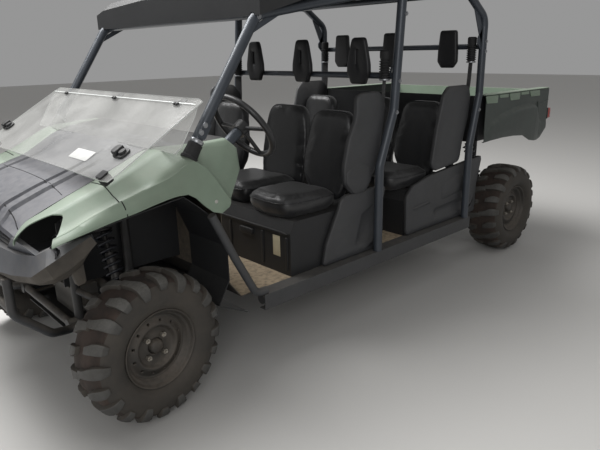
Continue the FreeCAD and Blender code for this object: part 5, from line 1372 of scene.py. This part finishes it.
# outlines of the fittings, along and across the folded sheet
HINGE_LEAF = oblong(-0.026, -0.022, 0.026, 0.022, 0.004)
HINGE_CAP = circle(0.0075, 14)
KNOB_BASE = oblong(-0.028, -0.042, 0.028, 0.042, 0.026)
KNOB_EAR = arc_outline(((-0.024, -0.036, 0.020), (0.024, -0.036, 0.020), (0.024, 0.004, 0.008),
                        (-0.024, 0.004, 0.008)))
KNOB_EYE = circle(0.016, 20)
RUBBER_FOOT = oblong(-0.020, -0.022, 0.022, 0.022, 0.008)
KNOB_X, KNOB_Y, FOOT_Y, FOOT_INSET = 0.335, {"left": 0.625, "right": -0.690}, 0.655, 0.026
fittings = []
for k, y in enumerate((-0.53, 0.04, 0.59)):
    fittings.append(on_fold("hinge_leaf_%d" % k, HINGE_LEAF, -0.008, -0.0022, 0.001, black_plastic, y))
    for j, offset in enumerate((-0.010, 0.010)):
        fittings.append(on_fold("hinge_bolt_%d_%d" % (k, j), HINGE_CAP, 0.002, 0.011, 0.002, black_plastic,
                                y + offset, 0.018))
for side, word in SIDES:
    y = KNOB_Y[word]
    fittings += [
        on_fold("knob_base_" + word, KNOB_BASE, 0.002, 0.013, 0.004, black_plastic, y, KNOB_X),
        on_fold("knob_ear_" + word, KNOB_EAR, 0.010, 0.031, 0.005, black_plastic, y, KNOB_X),
        on_fold("knob_eye_" + word, KNOB_EYE, 0.010, 0.024, 0.004, black_plastic, y + 0.020, KNOB_X),
        on_fold("screen_foot_" + word, RUBBER_FOOT, -0.034, -0.0022, 0.005, black_rubber, FOOT_Y * side,
                fold_reach - FOOT_INSET),
        on_fold("foot_cap_" + word, RUBBER_FOOT, 0.002, 0.009, 0.003, black_rubber, FOOT_Y * side,
                fold_reach - FOOT_INSET)]
blank_label = on_fold("sheet_label", oblong(-0.028, -0.085, 0.028, 0.085, 0.003), 0.0022, 0.0028, 0.0002,
                      pale_label, 0.350, 0.385)
for piece in fittings:
    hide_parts("windscreen_fittings")
for piece in screen_parts + fittings + [blank_label]:
    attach(piece, "vehicle")

# Cargo bed.
# A tub of ribbed black plastic with moulded side panels that flare over the wheels, hinged at
# the rear of the frame to tip, and a drop tailgate on a pin along its foot. Below their sage rail the
# panels' sides are a dark green-grey: the sage darkened as painted shade.

BED_SIDE_Y, BED_TOP, BED_WALL, BED_STEPS = 0.737, 1.1655, 0.004, 6
# columns: x, height of the flare's shoulder, how far it stands out and the lower edge
BED_FLARE = ((-0.965, 0.900, 0.003, 0.858), (-1.040, 0.968, 0.016, 0.866), (-1.180, 1.008, 0.027, 0.872),
             (-1.330, 1.036, 0.032, 0.868), (-1.480, 1.048, 0.034, 0.855), (-1.590, 1.050, 0.034, 0.808),
             (-1.655, 1.040, 0.032, 0.797), (-1.700, 0.985, 0.024, 0.794), (-1.745, 0.930, 0.012, 0.792),
             (-1.800, 0.905, 0.006, 0.802), (-1.888, 0.900, 0.003, 0.862))
# tabs of the rail over its pockets, as corners (x, z); the small ones stand between the large
RAIL_TABS = (((-0.949, 1.160), (-1.109, 1.160), (-1.106, 1.109), (-0.969, 1.114)),
             ((-1.129, 1.160), (-1.247, 1.160), (-1.254, 1.137), (-1.136, 1.139)),
             ((-1.265, 1.160), (-1.421, 1.160), (-1.414, 1.111), (-1.289, 1.112)),
             ((-1.432, 1.160), (-1.550, 1.160), (-1.553, 1.139), (-1.440, 1.140)),
             ((-1.565, 1.160), (-1.721, 1.160), (-1.733, 1.118), (-1.591, 1.119)))
RAIL_CAP = ((-0.964, 0.668, 0.004), (-0.964, 0.741, 0.010), (-1.887, 0.741, 0.010), (-1.887, 0.668, 0.004))
PANEL_BEADS = (("panel_rib_left", ((-1.712, 0.738, 1.075), (-1.742, 0.738, 0.96), (-1.775, 0.740, 0.830)), 0.007),
               ("panel_step_left", ((-1.734, 0.737, 1.052), (-1.885, 0.737, 1.079)), 0.004))
# the side panels' colour: the sage darkened to a green-grey, as painted shade
sage_in_painted_shade = shade("dark_green_panel", (0.050, 0.062, 0.057), 0.45, second=(0.040, 0.049, 0.045), patch=4,
                  dust=(0.30, 0.31, 0.27), dusty=0.25, grain=700, depth=0.25)
red_lens = shade("red_lens", (0.42, 0.03, 0.02), 0.22, gloss=0.7, patch=20)
cover(black_plastic, "bed_tub")
cover(sage, "tailgate")


def bed_section(x, shoulder, bulge, low):
    """One row down the panel: rail, side, the flare that swells outward, and the lip under it."""
    side = BED_SIDE_Y
    row = [(x, 0.668, BED_TOP), (x, 0.728, BED_TOP), (x, 0.734, BED_TOP - 0.002), (x, side, BED_TOP - 0.007),
           (x, side, 1.115), (x, side, shoulder + 0.034)]
    row += [(x, side + bulge * (0.5 - 0.5 * math.cos(math.pi * t)), shoulder + 0.030 - 0.036 * t)
            for t in (0.15, 0.4, 0.6, 0.8, 0.95)]
    row += [(x, side + bulge * 1.02, shoulder - 0.018), (x, side + bulge * 0.95, (shoulder + low) / 2),
            (x, side + bulge * 0.85, low + 0.006), (x, side + bulge * 0.85 - 0.003, low),
            (x, side + bulge * 0.85 - 0.014, low)]
    return [Vector(p) for p in row]


def bed_panel():
    rows = [bed_section(*[a + (b - a) * step / BED_STEPS for a, b in zip(here, ahead)])
            for here, ahead in zip(BED_FLARE, BED_FLARE[1:]) for step in range(BED_STEPS)]
    rows.append(bed_section(*BED_FLARE[-1]))
    return softened(walled(sheet_mesh("bed_panel_left", rows, sage_in_painted_shade), BED_WALL), 30)


side_parts = [bed_panel()]
for k, tab in enumerate(RAIL_TABS):
    side_parts.append(plate_piece("rail_tab_left_%d" % k, arc_outline([(x, z, 0.006) for x, z in tab]), 1,
                                  BED_SIDE_Y - 0.001, BED_SIDE_Y + 0.005, 0.0018, sage))
side_parts.append(plate_piece("bed_rail_left", arc_outline(RAIL_CAP), 2, BED_TOP - 0.0005, BED_TOP + 0.0045,
                              0.002, sage))
for name, path, radius in PANEL_BEADS:
    side_parts.append(softened(from_faces(name, bead(path, radius, 10, closed=False), sage_in_painted_shade), 50))
side_parts += [mirror_twin(piece) for piece in side_parts]
bed_parts = [(piece, "bed_sides", "green_panel") for piece in side_parts]
lamp_low, lamp_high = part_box("tail_lamps")
for side, word in SIDES:
    lens = plate_piece("tail_lens_" + word, oblong(0.694 * side, 0.936, 0.737 * side, 1.014, 0.010), 0,
                       lamp_low.x + 0.0005, lamp_high.x - 0.014, 0.006, red_lens)
    housing = plate_piece("tail_housing_" + word, oblong(0.690 * side, 0.932, 0.740 * side, 1.018, 0.010), 0,
                          lamp_high.x - 0.016, lamp_high.x, 0.003, black_plastic)
    bed_parts += [(lens, "tail_lamps", "lamp_red"), (housing, "tail_lamps", "lamp_red")]
for piece, node, slot in bed_parts:
    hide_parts(node)
    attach(piece, "bed")

# the tailgate's pressed ribs and its two latches
GATE_REAR, RIB_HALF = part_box("tailgate")[0].x, 0.56
gate_parts = [plate_piece("tailgate_rib_%d" % k, oblong(-RIB_HALF, z - 0.010, RIB_HALF, z + 0.010, 0.009), 0,
                          GATE_REAR + 0.003, GATE_REAR + 0.012, 0.003, sage)
              for k, z in enumerate((0.955, 1.0, 1.045))]
gate_parts += [plate_piece("tailgate_latch_" + word, oblong(0.600 * side, 1.095, 0.660 * side, 1.125, 0.008), 0,
                           GATE_REAR - 0.006, GATE_REAR + 0.004, 0.003, black_plastic) for side, word in SIDES]
for piece in gate_parts:
    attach(piece, "tailgate")

# Studio.
# A wide pale floor under a grey sky, a large soft lamp overhead and a weaker one beside the camera,
# which stands where the photograph was taken from.

FLOOR_HALF = 30.0
LAMP_TARGET, CAMERA_PLACE = Vector((0, 0, 0.8)), Vector((2.466, 2.618, 1.458))
YAW, PITCH, ROLL = math.radians(227.02), math.radians(-17.14), math.radians(-1.09)
floor_corners = [(-FLOOR_HALF, -FLOOR_HALF, 0), (FLOOR_HALF, -FLOOR_HALF, 0), (FLOOR_HALF, FLOOR_HALF, 0),
                 (-FLOOR_HALF, FLOOR_HALF, 0)]
pale_floor = bpy.data.materials.new("pale_floor")
pale_floor.use_nodes = True
pale_floor.node_tree.nodes["Principled BSDF"].inputs["Base Color"].default_value = (0.57, 0.56, 0.54, 1)
pale_floor.node_tree.nodes["Principled BSDF"].inputs["Roughness"].default_value = 0.8
floor = from_faces("studio_floor", (floor_corners, [(0, 1, 2, 3)]), pale_floor)
floor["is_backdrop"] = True

world = bpy.data.worlds.new("studio")
bpy.context.scene.world = world
world.use_nodes = True
world.node_tree.nodes["Background"].inputs["Color"].default_value = (0.80, 0.80, 0.80, 1)
world.node_tree.nodes["Background"].inputs["Strength"].default_value = 0.38


def soft_lamp(name, place, side, power):
    lamp = bpy.data.lights.new(name, "AREA")
    lamp.energy = power
    lamp.size = side
    holder = bpy.data.objects.new(name, lamp)
    bpy.context.scene.collection.objects.link(holder)
    holder.rotation_euler = (LAMP_TARGET - Vector(place)).to_track_quat("-Z", "Y").to_euler()
    holder.location = place


soft_lamp("overhead", (1.2, -1.8, 5.2), 4.0, 480)
soft_lamp("beside_camera", (4.5, 5.0, 3.0), 3.0, 80)

ahead = Vector((math.cos(PITCH) * math.cos(YAW), math.cos(PITCH) * math.sin(YAW), math.sin(PITCH)))
right = ahead.cross(Vector((0, 0, 1))).normalized()
above = right.cross(ahead)
right, above = (right * math.cos(ROLL) + above * math.sin(ROLL), above * math.cos(ROLL) - right * math.sin(ROLL))
camera = bpy.data.objects.new("camera", bpy.data.cameras.new("camera"))
camera.data.sensor_width = 36.0
camera.data.lens = 33.67
camera.matrix_world = Matrix.Translation(CAMERA_PLACE) @ Matrix((right, above, -ahead)).transposed().to_4x4()
bpy.context.scene.collection.objects.link(camera)
bpy.context.scene.camera = camera
bpy.context.scene.view_settings.view_transform = "Standard"

bpy.context.view_layer.update()
low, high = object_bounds()
